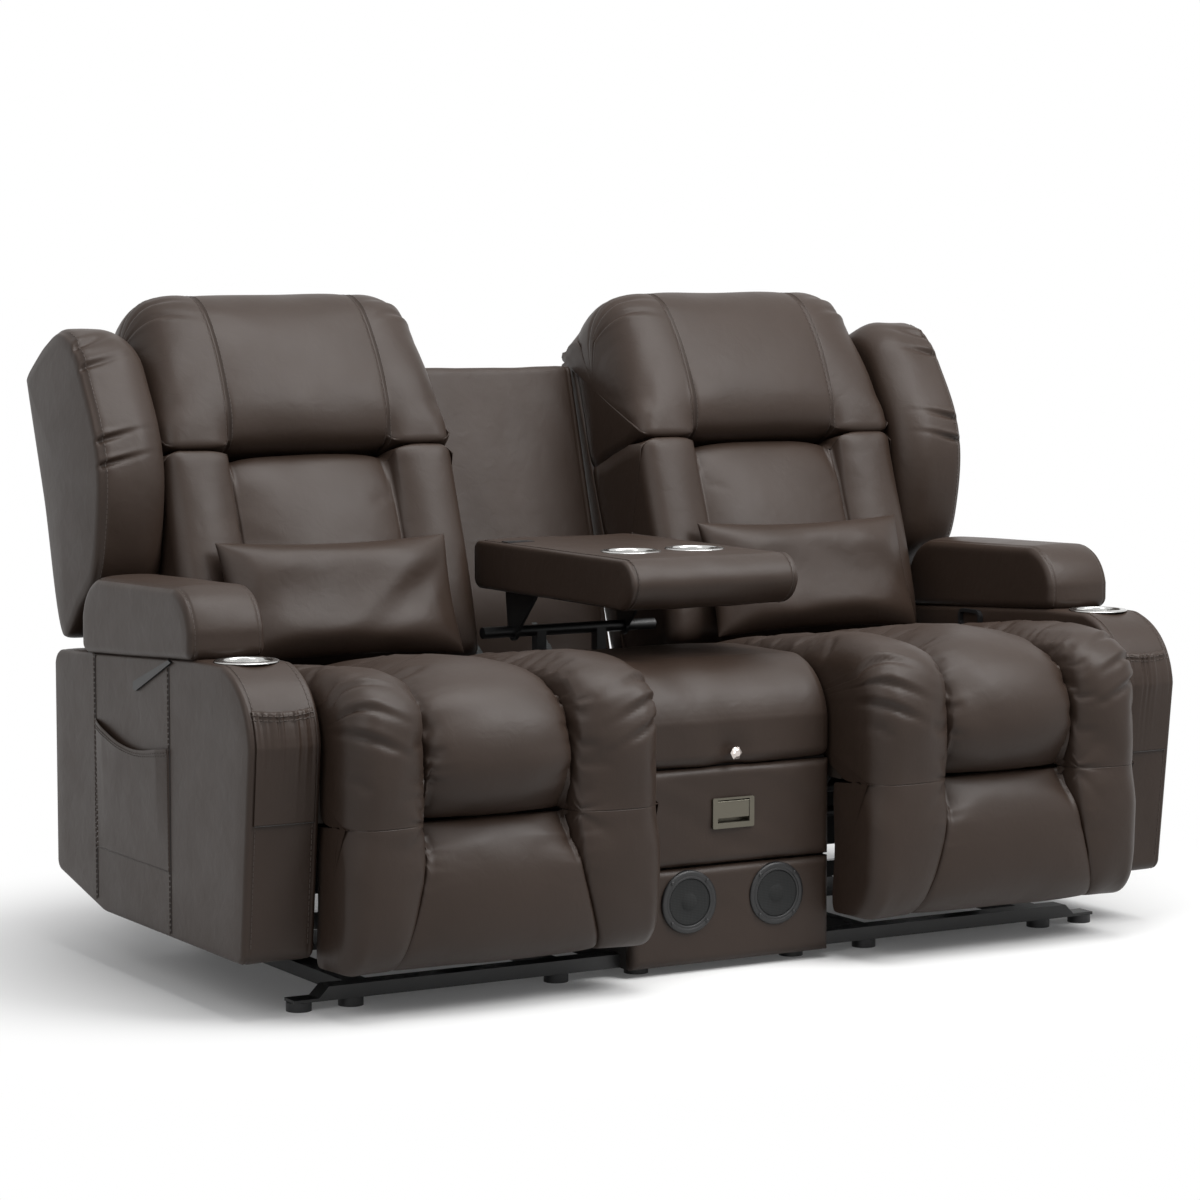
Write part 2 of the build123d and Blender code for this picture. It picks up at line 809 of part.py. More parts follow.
with BuildPart() as centre_panel:
    shift = centre_thick / cos(radians(centre_lean))
    outline = [
        (centre_face(centre_low), centre_low),
        (centre_face(centre_low) + shift, centre_low),
        (centre_face(centre_top) + shift, centre_top),
        (centre_face(centre_top), centre_top),
    ]
    prism(-centre_half, centre_half, outline)
    fillet(centre_panel.edges().filter_by(Axis.X).sort_by(Axis.Z)[-2:], 7.0)
    cloth_low = brace_z + 14.0
    back_step = cloth_thick
    recess = [
        (centre_face(cloth_low) - 1.0, cloth_low),
        (centre_face(cloth_low) + back_step, cloth_low),
        (centre_face(cloth_top) + back_step, cloth_top),
        (centre_face(cloth_top) - 1.0, cloth_top),
    ]
    prism(-centre_half - 1.0, centre_half + 1.0, recess, Mode.SUBTRACT)
save(centre_panel, "centre_panel")

with BuildPart() as rear_cloth:
    outline = [
        (centre_face(cloth_low), cloth_low),
        (centre_face(cloth_low) + cloth_thick, cloth_low),
        (centre_face(cloth_top) + cloth_thick, cloth_top),
        (centre_face(cloth_top), cloth_top),
    ]
    prism(-centre_half, centre_half, outline)
save(rear_cloth, "rear_cloth")

# Drop-down table: padded slab, two steel cups, a charging panel and hinge arms
with BuildPart() as table_pad:
    block(-table_half, table_half, table_front, table_rear, table_bottom, table_top)
    fillet(table_pad.edges().filter_by(Axis.X).sort_by(Axis.Y)[:2], table_nose)
    fillet(table_pad.edges().filter_by(Axis.X).sort_by(Axis.Y)[-2:], table_tail)
    hole = cup_radius + cup_wall + cup_play
    with BuildSketch(Plane.XY.offset(table_top + 1.0)):
        with Locations((-table_cup_x, table_cup_y), (table_cup_x, table_cup_y)):
            Circle(hole)
    extrude(amount=-(cup_depth + cup_wall + cup_play + 1.0), mode=Mode.SUBTRACT)
    block(
        usb_x - usb_length / 2, usb_x + usb_length / 2,
        usb_y - usb_width / 2, usb_y + usb_width / 2,
        table_top - 14.0, table_top + 1.0, Mode.SUBTRACT,
    )
save(table_pad, "table_pad")


def cup(x, y, z):
    # a steel cup with a flat rim that rests on a top at height z
    def disc(low, high, radius, mode=Mode.ADD):
        with Locations((x, y, (low + high) / 2)):
            Cylinder(radius, high - low, mode=mode)

    rim = z + cup_rim_thick
    disc(z, rim, cup_rim_radius)
    disc(z - cup_depth - cup_wall, z + 1.0, cup_radius + cup_wall)
    disc(z - cup_depth, rim + 1.0, cup_radius, Mode.SUBTRACT)


with BuildPart() as table_cups:
    for sign in (-1, 1):
        cup(sign * table_cup_x, table_cup_y, table_top)
save(table_cups, "table_cups")

with BuildPart() as usb_panel:
    block(
        usb_x - usb_length / 2 + 0.2, usb_x + usb_length / 2 - 0.2,
        usb_y - usb_width / 2 + 0.2, usb_y + usb_width / 2 - 0.2,
        table_top - 14.0, table_top + usb_proud,
    )
    for offset_x in (-12.0, 12.0):
        block(
            usb_x + offset_x - 6.5, usb_x + offset_x + 6.5, usb_y - 3.0, usb_y + 3.0,
            table_top - 9.0, table_top + usb_proud + 1.0, Mode.SUBTRACT,
        )
save(usb_panel, "usb_panel")

with BuildPart() as table_arms:
    for sign in (-1, 1):
        x0 = sign * table_arm_x - table_arm_thick / 2
        x1 = x0 + table_arm_thick
        outline = [
            (table_pivot_y - bar_radius - 6.0, table_pivot_z),
            (table_pivot_y + bar_radius + 6.0, table_pivot_z),
            (table_pivot_y + 26.0, table_bottom),
            (table_pivot_y - 90.0, table_bottom),
        ]
        prism(x0, x1, outline)
        rod_x(x0, x1, table_pivot_y, table_pivot_z, bar_radius + 6.0)
        rod_x(x0 - 1, x1 + 1, table_pivot_y, table_pivot_z, bar_radius + pin_play, Mode.SUBTRACT)
    block(
        -table_arm_x, table_arm_x, table_pivot_y - 60.0, table_pivot_y - 10.0,
        table_bottom - 4.0, table_bottom,
    )
save(table_arms, "table_arms")

# Pieces of each seat
for side, sign in (("left", -1), ("right", 1)):
    # timber seat frame with a slatted deck, bolted to the arm on its outer side
    with BuildPart() as seat_frame:
        block(frame_inner, arm_inner, frame_front, frame_rear, frame_bottom, frame_top)
        block(
            frame_inner + frame_bar, plate_outer, frame_front + frame_bar, frame_rear - frame_bar,
            frame_bottom - 1.0, frame_top + 1.0, Mode.SUBTRACT,
        )
        block(
            frame_inner + frame_bar, plate_outer, frame_front - 1.0, frame_front + frame_bar + 1.0,
            frame_bottom - 1.0, front_bar_bottom, Mode.SUBTRACT,
        )
        block(
            plate_inner - frame_bar, plate_inner, frame_front + 1.0, frame_rear - 1.0,
            front_bar_bottom, frame_top,
        )
        block(
            plate_inner - frame_bar, plate_inner, frame_front + frame_bar, frame_rear - 1.0,
            frame_bottom, frame_top,
        )
        pitch = (frame_rear - frame_front - 2 * frame_bar) / slat_count
        for i in range(slat_count):
            y = frame_front + frame_bar + pitch * (i + 0.5)
            block(
                frame_inner + 1.0, arm_inner - 1.0, y - slat_width / 2, y + slat_width / 2,
                frame_top - slat_thick, frame_top,
            )
        if sign < 0:
            mirror(about=Plane.YZ, mode=Mode.REPLACE)
    save(seat_frame, "seat_frame_" + side)

    # steel side plates: rocker bores low down, link bores in front, back pins behind
    with BuildPart() as mechanism:
        for x0, ahead in ((plate_inner, 1), (plate_outer - plate_thick, -1)):
            x1 = x0 + plate_thick
            outline = [
                (link_a_y - 45.0, frame_bottom + 45.0),
                (link_a_y - 45.0, link_a_z - 35.0),
                (rock_y - 70.0, rock_z - 28.0),
                (rock_y + 70.0, rock_z - 28.0),
                (rock_y + 170.0, rock_z + 30.0),
                (frame_rear - frame_bar - 25.0, frame_bottom + 45.0),
            ]
            prism(x0, x1, outline)
            knee = (frame_rear + 30.0, frame_bottom - 45.0)
            bar(x0, x1, (rock_y + 140.0, rock_z + 48.0), knee, 40.0)
            bar(x0, x1, knee, (back_pivot_y, back_pivot_z), 40.0)
            rod_x(x0 - 1, x1 + 1, rock_y, rock_z, rock_pin_radius + pin_play, Mode.SUBTRACT)
            rod_x(x0 - 1, x1 + 1, link_a_y, link_a_z, link_pin_radius + pin_play, Mode.SUBTRACT)
            face = x1 if ahead > 0 else x0
            reach = layer_gap + plate_thick + 2.0
            rod_x(
                face - ahead * 1.0, face + ahead * reach, back_pivot_y, back_pivot_z, link_pin_radius,
            )
        rod_x(plate_inner + 1, plate_outer - 1, rock_y + 120.0, rock_z + 50.0, 11.0)
        if sign < 0:
            mirror(about=Plane.YZ, mode=Mode.REPLACE)
    save(mechanism, "mechanism_" + side)

    # first footrest link: a pair of bars and a tube, pinned to the side plates
    with BuildPart() as link_a:
        tube_y = (link_a_y + elbow[0]) / 2
        tube_z = (link_a_z + elbow[1]) / 2
        inner_0 = plate_inner + plate_thick + layer_gap
        outer_0 = plate_outer - 2 * plate_thick - layer_gap
        for x0, ahead in ((inner_0, 1), (outer_0, -1)):
            x1 = x0 + plate_thick
            bar(x0, x1, (link_a_y, link_a_z), elbow, link_width)
            out = x0 if ahead > 0 else x1
            inn = x1 if ahead > 0 else x0
            out_reach = layer_gap + plate_thick - 0.3
            in_reach = layer_gap + plate_thick
            rod_x(out + ahead * 1.0, out - ahead * out_reach, link_a_y, link_a_z, link_pin_radius)
            rod_x(inn - ahead * 1.0, inn + ahead * in_reach, elbow[0], elbow[1], link_pin_radius)
        rod_x(inner_0 + 1, outer_0 + plate_thick - 1, tube_y, tube_z, link_tube_radius)
        if sign < 0:
            mirror(about=Plane.YZ, mode=Mode.REPLACE)
    save(link_a, "link_a_" + side)

    # second footrest link, from the elbow to the footrest tray
    with BuildPart() as link_b:
        share = 0.72
        tube_y = elbow[0] + (rest_pin[0] - elbow[0]) * share
        tube_z = elbow[1] + (rest_pin[1] - elbow[1]) * share
        step = plate_thick + layer_gap
        inner_0 = plate_inner + 2 * step
        outer_0 = plate_outer - 3 * plate_thick - 2 * layer_gap
        for x0, ahead in ((inner_0, 1), (outer_0, -1)):
            x1 = x0 + plate_thick
            bar(x0, x1, elbow, rest_pin, link_width)
            rod_x(x0 - 1, x1 + 1, elbow[0], elbow[1], link_pin_radius + pin_play, Mode.SUBTRACT)
            inn = x1 if ahead > 0 else x0
            rod_x(inn - ahead * 1.0, inn + ahead * step, rest_pin[0], rest_pin[1], link_pin_radius)
        rod_x(inner_0 + 1, outer_0 + plate_thick - 1, tube_y, tube_z, link_tube_radius)
        if sign < 0:
            mirror(about=Plane.YZ, mode=Mode.REPLACE)
    save(link_b, "link_b_" + side)

    # pressed footrest tray with a pair of ears
    with BuildPart() as rest_tray:
        block(
            rest_inner + 30.0, rest_outer - 30.0, board_front, board_rear,
            rest_bottom + 14.0, rest_top - 12.0,
        )
        step = plate_thick + layer_gap
        inner_0 = plate_inner + 3 * step
        outer_0 = plate_outer - 4 * plate_thick - 3 * layer_gap
        for x0 in (inner_0, outer_0):
            x1 = x0 + plate_thick
            block(x0, x1, board_rear - 1.0, rest_pin[0], rest_pin[1] - 15.0, rest_pin[1] + 15.0)
            rod_x(x0, x1, rest_pin[0], rest_pin[1], 15.0)
            rod_x(x0 - 1, x1 + 1, rest_pin[0], rest_pin[1], link_pin_radius + pin_play, Mode.SUBTRACT)
        if sign < 0:
            mirror(about=Plane.YZ, mode=Mode.REPLACE)
    save(rest_tray, "footrest_tray_" + side)

    with BuildPart() as rest_pad:
        seams = (rest_inner, seat_seam_inner, seat_seam_outer, rest_outer)
        channel_pads((rest_bolster, rest_middle, rest_bolster), seams, rest_channel)
        if sign < 0:
            mirror(about=Plane.YZ, mode=Mode.REPLACE)
    save(rest_pad, "footrest_pad_" + side)

    with BuildPart() as seat_cushion:
        seams = (seat_inner, seat_seam_inner, seat_seam_outer, seat_outer)
        channel_pads((seat_bolster, seat_middle, seat_bolster), seams, seat_channel)
        if sign < 0:
            mirror(about=Plane.YZ, mode=Mode.REPLACE)
    save(seat_cushion, "seat_cushion_" + side)

    # upholstered arm with a well for the cup holder
    with BuildPart() as arm:
        outline = [
            (arm_front_bottom, arm_bottom),
            (arm_front_top, arm_top),
            (pad_front, arm_top),
            (arm_rear, arm_top_rear),
            (arm_rear, arm_bottom + arm_heel_rise),
            (arm_heel_start, arm_bottom),
        ]
        prism(arm_inner, arm_outer, outline)
        along = arm.edges().filter_by(Axis.X)
        nose_edge = along.sort_by_distance((arm_mid, arm_front_top, arm_top))[0]
        fillet(nose_edge, arm_nose_radius)
        tail_edge = arm.edges().filter_by(Axis.X).sort_by_distance((arm_mid, arm_rear, arm_top_rear))[0]
        fillet(tail_edge, 22.0)
        with BuildSketch(Plane.XY.offset(arm_top + 1.0)):
            with Locations((arm_mid, cup_y)):
                Circle(cup_radius + cup_wall + cup_play)
        extrude(amount=-(cup_depth + cup_wall + cup_play + 1.0), mode=Mode.SUBTRACT)
        if sign < 0:
            mirror(about=Plane.YZ, mode=Mode.REPLACE)
    save(arm, "arm_" + side)

    with BuildPart() as arm_pad:
        x_low = arm_inner
        x_high = arm_outer + pad_overhang
        for x, inset in ((x_low, pad_crown), ((x_low + x_high) / 2, 0.0), (x_high, pad_crown)):
            front_low = (pad_front, arm_top_at(pad_front))
            rear_low = (pad_rear, arm_top_at(pad_rear))
            r = pad_end_radius
            up = pad_height - inset
            q = r * (1 - cos(radians(45)))
            with BuildSketch(Plane.YZ.offset(x)):
                with BuildLine():
                    Line(rear_low, front_low)
                    nose_low = (pad_front, front_low[1] + up - r)
                    nose_mid = (pad_front + q, front_low[1] + up - q)
                    nose_high = (pad_front + r, front_low[1] + up)
                    tail_high = (pad_rear - r, rear_low[1] + up + 12.0)
                    tail_mid = (pad_rear - q, rear_low[1] + up - q + 8.0)
                    tail_low = (pad_rear, rear_low[1] + up - r)
                    Line(front_low, nose_low)
                    ThreePointArc(nose_low, nose_mid, nose_high)
                    Line(nose_high, tail_high)
                    ThreePointArc(tail_high, tail_mid, tail_low)
                    Line(tail_low, rear_low)
                make_face()
        loft()
        if sign < 0:
            mirror(about=Plane.YZ, mode=Mode.REPLACE)
    save(arm_pad, "arm_pad_" + side)

    with BuildPart() as cup_holder:
        cup(arm_mid, cup_y, arm_top)
        if sign < 0:
            mirror(about=Plane.YZ, mode=Mode.REPLACE)
    save(cup_holder, "cup_holder_" + side)

    # open-topped pockets on the front and the outer face of the arm
    with BuildPart() as pockets:
        rake = (arm_front_top - arm_front_bottom) / (arm_top - arm_bottom)
        deep = pocket_gap + pocket_wall
        front_deep = front_pocket_gap + pocket_wall

        def front_at(z):
            return arm_front_bottom + (z - arm_bottom) * rake

        low = front_pocket_low
        high = front_pocket_high
        lip = low + pocket_edge
        outer = [
            (front_at(low), low),
            (front_at(high), high),
            (front_at(high) - front_deep, high),
            (front_at(low) - front_deep, low),
        ]
        prism(arm_inner + 8.0, arm_outer - 8.0, outer)
        inner = [
            (front_at(lip) + 1.0, lip),
            (front_at(high + 5.0) + 1.0, high + 5.0),
            (front_at(high + 5.0) - front_pocket_gap, high + 5.0),
            (front_at(lip) - front_pocket_gap, lip),
        ]
        prism(arm_inner + 8.0 + pocket_edge, arm_outer - 8.0 - pocket_edge, inner, Mode.SUBTRACT)
        block(
            arm_outer, arm_outer + deep, side_pocket_front, side_pocket_rear,
            side_pocket_low, side_pocket_high,
        )
        block(
            arm_outer - 1.0, arm_outer + pocket_gap,
            side_pocket_front + pocket_edge, side_pocket_rear - pocket_edge,
            side_pocket_low + pocket_edge, side_pocket_high + 1.0, Mode.SUBTRACT,
        )
        if sign < 0:
            mirror(about=Plane.YZ, mode=Mode.REPLACE)
    save(pockets, "arm_pockets_" + side)

    # ring pull of the recline release, on the inner face of the arm
    with BuildPart() as release_pull:
        pull_top = arm_top_at(pull_y) - pull_drop
        with BuildSketch(Plane.YZ.offset(arm_inner - 0.3)):
            with Locations((pull_y, pull_top - pull_height / 2)):
                RectangleRounded(pull_length, pull_height, pull_height * 0.4)
                RectangleRounded(
                    pull_length - 2 * pull_bar, pull_height - 2 * pull_bar,
                    pull_height * 0.4 - pull_bar, mode=Mode.SUBTRACT,
                )
        extrude(amount=-pull_thick)
        if sign < 0:
            mirror(about=Plane.YZ, mode=Mode.REPLACE)
    save(release_pull, "release_pull_" + side)

    # steel back frame that turns on the pins of the side plates
    with BuildPart() as back_frame:
        half = back_tube / 2
        step = plate_thick + layer_gap
        plate_0 = plate_inner + step
        plate_1 = plate_outer - 2 * plate_thick - layer_gap
        stile_a = (plate_0 + plate_thick, plate_0 + plate_thick + back_tube)
        stile_b = (plate_1 - back_tube, plate_1)
        for x0, x1 in (stile_a, stile_b):
            corners = [
                on_back(44.0, -half), on_back(44.0, half),
                on_back(back_frame_top, half), on_back(back_frame_top, -half),
            ]
            prism(x0, x1, corners)
        for x0 in (plate_0, plate_1):
            bar(x0, x0 + plate_thick, on_back(0.0, 0.0), on_back(150.0, 0.0), 30.0)
            bore = link_pin_radius + pin_play
            rod_x(x0 - 1, x0 + plate_thick + 1, back_pivot_y, back_pivot_z, bore, Mode.SUBTRACT)
        wall = back_shell_wall
        for u in (70.0, 330.0, back_frame_top - half):
            corners = [
                on_back(u - half, -half), on_back(u - half, half),
                on_back(u + half, half), on_back(u + half, -half),
            ]
            prism(back_inner + wall, back_outer - wall, corners)
        web = [
            on_back(70.0, -web_thick / 2), on_back(70.0, web_thick / 2),
            on_back(back_frame_top - half, web_thick / 2), on_back(back_frame_top - half, -web_thick / 2),
        ]
        prism(back_inner + wall, back_outer - wall, web)
        if sign < 0:
            mirror(about=Plane.YZ, mode=Mode.REPLACE)
    save(back_frame, "back_frame_" + side)

    # covered shell behind and beside the back frame
    with BuildPart() as back_shell:
        top_u = back_frame_top + shell_rise
        rear_skin = [
            on_back(32.0, -back_rear), on_back(32.0, -back_rear + wall),
            on_back(top_u, -back_rear + wall), on_back(top_u, -back_rear),
        ]
        prism(back_inner, back_outer, rear_skin)
        cheek = [
            on_back(32.0, -back_rear), on_back(32.0, back_face - soft_gap),
            on_back(top_u, back_face - soft_gap), on_back(top_u, -back_rear),
        ]
        for x0 in (back_inner, back_outer - wall):
            prism(x0, x0 + wall, cheek)
        spacer = [
            on_back(330.0 - half, -back_rear), on_back(330.0 - half, -half),
            on_back(330.0 + half, -half), on_back(330.0 + half, -back_rear),
        ]
        prism(back_inner + 1.0, back_outer - 1.0, spacer)
        if sign < 0:
            mirror(about=Plane.YZ, mode=Mode.REPLACE)
    save(back_shell, "back_shell_" + side)

    with BuildPart() as back_cushion:
        seams = (back_inner + 2.0, back_seam_inner, back_seam_outer, back_outer - 2.0)
        channel_pads((lumbar_section, lumbar_section, lumbar_section), seams, back_channel)
        if sign < 0:
            mirror(about=Plane.YZ, mode=Mode.REPLACE)
    save(back_cushion, "back_cushion_" + side)

    with BuildPart() as headrest:
        ends = (
            (back_inner + 2.0, head_end),
            (back_inner + head_round, head_round_draw),
            ((back_inner + back_outer) / 2, 0.0),
            (back_outer - head_round, head_round_draw),
            (back_outer - 2.0, head_end),
        )
        for x, inset in ends:
            with BuildSketch(Plane.YZ.offset(x)):
                with BuildLine():
                    head_section(inset)
                make_face()
        loft()
        if sign < 0:
            mirror(about=Plane.YZ, mode=Mode.REPLACE)
    save(headrest, "headrest_" + side)

    with BuildPart() as wing:
        stations = (
            (back_outer, wing_side_draw, wing_side_drop),
            (wing_roll_x, 0.0, 0.0),
            (wing_outer, wing_face_draw, wing_face_drop),
        )
        for x, front, top in stations:
            with BuildSketch(Plane.YZ.offset(x)):
                with BuildLine():
                    wing_section(front, top)
                make_face()
        loft()
        if sign < 0:
            mirror(about=Plane.YZ, mode=Mode.REPLACE)
    save(wing, "wing_" + side)

    with BuildPart() as pillow:
        half_width = pillow_width / 2
        for share, full in ((-1.0, 0.0), (-0.55, 0.9), (0.0, 1.0), (0.55, 0.9), (1.0, 0.0)):
            with BuildSketch(Plane.YZ.offset(pillow_mid + share * half_width)):
                with BuildLine():
                    pillow_section(full)
                make_face()
        loft()
        if sign < 0:
            mirror(about=Plane.YZ, mode=Mode.REPLACE)
    save(pillow, "pillow_" + side)

# Black strap that shows under the left arm pad, over the magazine pocket
with BuildPart() as side_strap:
    x_face = -arm_outer
    outline = [
        (-146.0, 528.0),
        (-136.0, 531.0),
        (4.0, 484.0),
        (4.0, 472.0),
        (-6.0, 470.0),
    ]
    prism(x_face, x_face - strap_thick, outline)
save(side_strap, "side_strap")

print("footrest pin", [round(v, 2) for v in rest_pin], "elbow", [round(v, 2) for v in elbow])
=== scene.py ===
# %% [markdown]
# # Rocker recliner loveseat
# Two upholstered rocker recliners share a console with a drawer, speakers and a drop-down table.
# The steel and timber pieces come from the solid model. Everything that is padded or covered in leather
# is rebuilt here as a soft mesh in the same place, in metres, and rides on the body it belongs to.

from math import atan2, cos, pi, radians, sin, tan

import bmesh
import bpy
import numpy as np
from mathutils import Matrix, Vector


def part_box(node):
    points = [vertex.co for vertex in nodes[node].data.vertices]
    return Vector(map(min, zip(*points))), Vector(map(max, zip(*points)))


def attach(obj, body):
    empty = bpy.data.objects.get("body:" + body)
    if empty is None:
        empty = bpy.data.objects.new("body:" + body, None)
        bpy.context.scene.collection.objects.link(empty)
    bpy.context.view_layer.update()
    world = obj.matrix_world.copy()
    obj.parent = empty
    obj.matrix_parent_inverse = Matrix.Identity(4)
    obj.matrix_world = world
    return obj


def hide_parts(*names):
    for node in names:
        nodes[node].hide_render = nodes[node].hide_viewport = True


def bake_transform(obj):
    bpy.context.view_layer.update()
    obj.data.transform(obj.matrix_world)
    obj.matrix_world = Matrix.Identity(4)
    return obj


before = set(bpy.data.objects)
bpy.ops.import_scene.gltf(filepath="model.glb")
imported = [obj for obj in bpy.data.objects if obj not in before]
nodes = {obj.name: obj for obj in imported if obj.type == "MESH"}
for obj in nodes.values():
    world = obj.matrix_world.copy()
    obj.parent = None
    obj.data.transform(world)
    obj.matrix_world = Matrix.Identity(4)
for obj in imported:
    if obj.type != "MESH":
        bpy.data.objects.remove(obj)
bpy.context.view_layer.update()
scene = bpy.context.scene

# %% [markdown]
# ## Camera, light and floor
# The view was worked out from the straight edges in the picture: a long lens, a little above the arms,
# thirty degrees to the left. A white room and three large soft lamps give the pale highlights.

# %% Colour helper
def linear(hex_code):
    # an sRGB hex colour as the linear red, green, blue, alpha that shaders take
    values = [int(hex_code[i:i + 2], 16) / 255 for i in (1, 3, 5)]
    return [v / 12.92 if v <= 0.04045 else ((v + 0.055) / 1.055) ** 2.4 for v in values] + [1.0]


# %% Camera
camera_place = (-3.103, -5.279, 1.139)
camera_turn = 30.245
camera_tilt = -5.278
camera_data = bpy.data.cameras.new("camera")
camera_data.sensor_width = 36.0
camera_data.lens = 108.0
camera_data.clip_end = 60.0
camera = bpy.data.objects.new("camera", camera_data)
camera.location = camera_place
camera.rotation_euler = (radians(90 + camera_tilt), 0.0, radians(-camera_turn))
scene.collection.objects.link(camera)
scene.camera = camera
scene.view_settings.view_transform = "Standard"

# %% Node helpers
def connect(tree, node, inputs):
    # a node's inputs: each value is a constant, or the socket that it comes from
    for key, value in inputs.items():
        if isinstance(value, bpy.types.NodeSocket):
            tree.links.new(value, node.inputs[key])
        else:
            node.inputs[key].default_value = value


def add(tree, kind, inputs=None, **settings):
    # one node: settings are its properties, inputs are values or sockets to link
    node = tree.nodes.new(kind)
    for key, value in settings.items():
        setattr(node, key, value)
    connect(tree, node, inputs or {})
    return node


# %% White room
world = bpy.data.worlds.new("white room")
scene.world = world
world.use_nodes = True
sky = world.node_tree
sky.nodes.clear()
rays_shown = ("Is Camera Ray", "Is Glossy Ray", "Is Transmission Ray")


def white_share(tree):
    # 1 for the rays that see the plain white background, 0 for the rays that light the scene
    path = add(tree, "ShaderNodeLightPath")
    total = path.outputs[rays_shown[0]]
    for kind in rays_shown[1:]:
        either = add(tree, "ShaderNodeMath", {0: total, 1: path.outputs[kind]}, operation="MAXIMUM")
        total = either.outputs[0]
    return total


shown = add(sky, "ShaderNodeBackground", {"Color": (1, 1, 1, 1), "Strength": 1.0})
lighting = add(sky, "ShaderNodeBackground", {"Color": linear("#f4f5f8"), "Strength": 0.3})
pick = add(sky, "ShaderNodeMixShader", {0: white_share(sky), 1: lighting.outputs[0], 2: shown.outputs[0]})
add(sky, "ShaderNodeOutputWorld", {"Surface": pick.outputs[0]})


def lamp(name, place, aim, size, watts):
    # a rectangular lamp turned to face a point
    data = bpy.data.lights.new(name, "AREA")
    data.shape = "RECTANGLE"
    data.size, data.size_y = size
    data.energy = watts
    obj = bpy.data.objects.new(name, data)
    obj.location = place
    run = np.array(aim) - np.array(place)
    flat = float(np.hypot(run[0], run[1]))
    obj.rotation_euler = (atan2(flat, -run[2]), 0.0, atan2(run[1], run[0]) - pi / 2)
    scene.collection.objects.link(obj)


lamp("key", (1.6, -2.6, 3.3), (0.0, -0.2, 0.6), (2.4, 1.8), 106)
lamp("fill", (-3.4, -2.3, 2.8), (-0.2, 0.0, 0.6), (1.8, 2.2), 30)
lamp("top", (0.2, -0.9, 4.2), (0.1, 0.0, 0.6), (3.2, 2.0), 112)

# %% [markdown]
# ## Materials
# Each finish starts from what it is on the real sofa. The cover is soft polyurethane leather: dark brown-
# grey, a fine pebble grain pressed in, a satin shine that varies a little where hands have rubbed it.

# %% Material helper
def surface(name):
    # an empty material with its shader and a place to read object coordinates from
    material = bpy.data.materials.new(name)
    material.use_nodes = True
    tree = material.node_tree
    shader = tree.nodes["Principled BSDF"]
    place = add(tree, "ShaderNodeTexCoord").outputs["Object"]
    return material, tree, shader, place


def per_metre(millimetres):
    # pattern scale for features of that size
    return 1000.0 / millimetres


# %% Leather
def make_leather(name, dark, light, rough):
    material, tree, shader, place = surface(name)
    cloud_mm, rub_mm, crease_mm = 140, 60, 26
    pebble_mm = 1.3
    cloud = add(tree, "ShaderNodeTexNoise", {"Vector": place, "Scale": per_metre(cloud_mm), "Detail": 3.0})
    rub = add(tree, "ShaderNodeTexNoise", {"Vector": place, "Scale": per_metre(rub_mm), "Detail": 4.0})
    pebble = add(tree, "ShaderNodeTexVoronoi", {"Vector": place, "Scale": per_metre(pebble_mm)}, feature="F1")
    crease = add(tree, "ShaderNodeTexNoise", {
        "Vector": place, "Scale": per_metre(crease_mm), "Detail": 5.0, "Distortion": 0.6,
    })
    tint = add(tree, "ShaderNodeMix", {
        "Factor": cloud.outputs["Fac"], 6: linear(dark), 7: linear(light),
    }, data_type="RGBA")
    gloss = add(tree, "ShaderNodeMapRange", {
        "Value": rub.outputs["Fac"], "To Min": rough - 0.06, "To Max": rough + 0.08,
    })
    fine = add(tree, "ShaderNodeBump", {
        "Height": pebble.outputs["Distance"], "Strength": 0.06, "Distance": 0.0003,
    })
    soft = add(tree, "ShaderNodeBump", {
        "Height": crease.outputs["Fac"], "Strength": 0.16, "Distance": 0.004, "Normal": fine.outputs[0],
    })
    connect(tree, shader, {
        "Base Color": tint.outputs[2], "Roughness": gloss.outputs[0], "Normal": soft.outputs[0],
        "IOR": 1.46, "Specular IOR Level": 0.34,
    })
    return material


leather = make_leather("polyurethane leather", "#2f241d", "#3a2e27", 0.45)
print("leather ready")

# %% [markdown]
# The hardware: black powder coat on the rails and bars, stainless steel in the cup rings, satin bronze-grey
# metal on the drawer pull, moulded black plastic on the speakers, stained timber in the drawer, near-black
# timber on the seat frames as painted shade, grey non-woven cloth behind the bars.

# %% Metals and plastics
def make_coat(name, colour, rough, metallic=0.0, grit=0.9, depth=0.0003):
    material, tree, shader, place = surface(name)
    smear_mm, smear_dark = 45, 0.86
    speck = add(tree, "ShaderNodeTexNoise", {"Vector": place, "Scale": per_metre(grit), "Detail": 2.0})
    smear = add(tree, "ShaderNodeTexNoise", {"Vector": place, "Scale": per_metre(smear_mm), "Detail": 3.0})
    gloss = add(tree, "ShaderNodeMapRange", {
        "Value": smear.outputs["Fac"], "To Min": rough - 0.05, "To Max": rough + 0.07,
    })
    dent = add(tree, "ShaderNodeBump", {"Height": speck.outputs["Fac"], "Strength": 0.2, "Distance": depth})
    base = linear(colour)
    shade = add(tree, "ShaderNodeMix", {
        "Factor": smear.outputs["Fac"], 6: [c * smear_dark for c in base[:3]] + [1.0], 7: base,
    }, data_type="RGBA")
    connect(tree, shader, {
        "Base Color": shade.outputs[2], "Roughness": gloss.outputs[0], "Normal": dent.outputs[0],
        "Metallic": metallic,
    })
    return material


powder_coat = make_coat("black powder coat", "#161616", 0.42)
stainless = make_coat("stainless steel", "#c9c9c7", 0.2, metallic=1.0, grit=3.0, depth=0.0001)
bronze_grey = make_coat("satin bronze-grey metal", "#6b675c", 0.42, metallic=0.8)
zinc = make_coat("dull zinc plate", "#5d5f61", 0.5, metallic=0.8)
black_plastic = make_coat("moulded black plastic", "#1b1b1c", 0.46, grit=1.2)
# the console case is near black: painted shade inside the console opening
painted_shade_board = make_coat("unlit board", "#1d1916", 0.8)


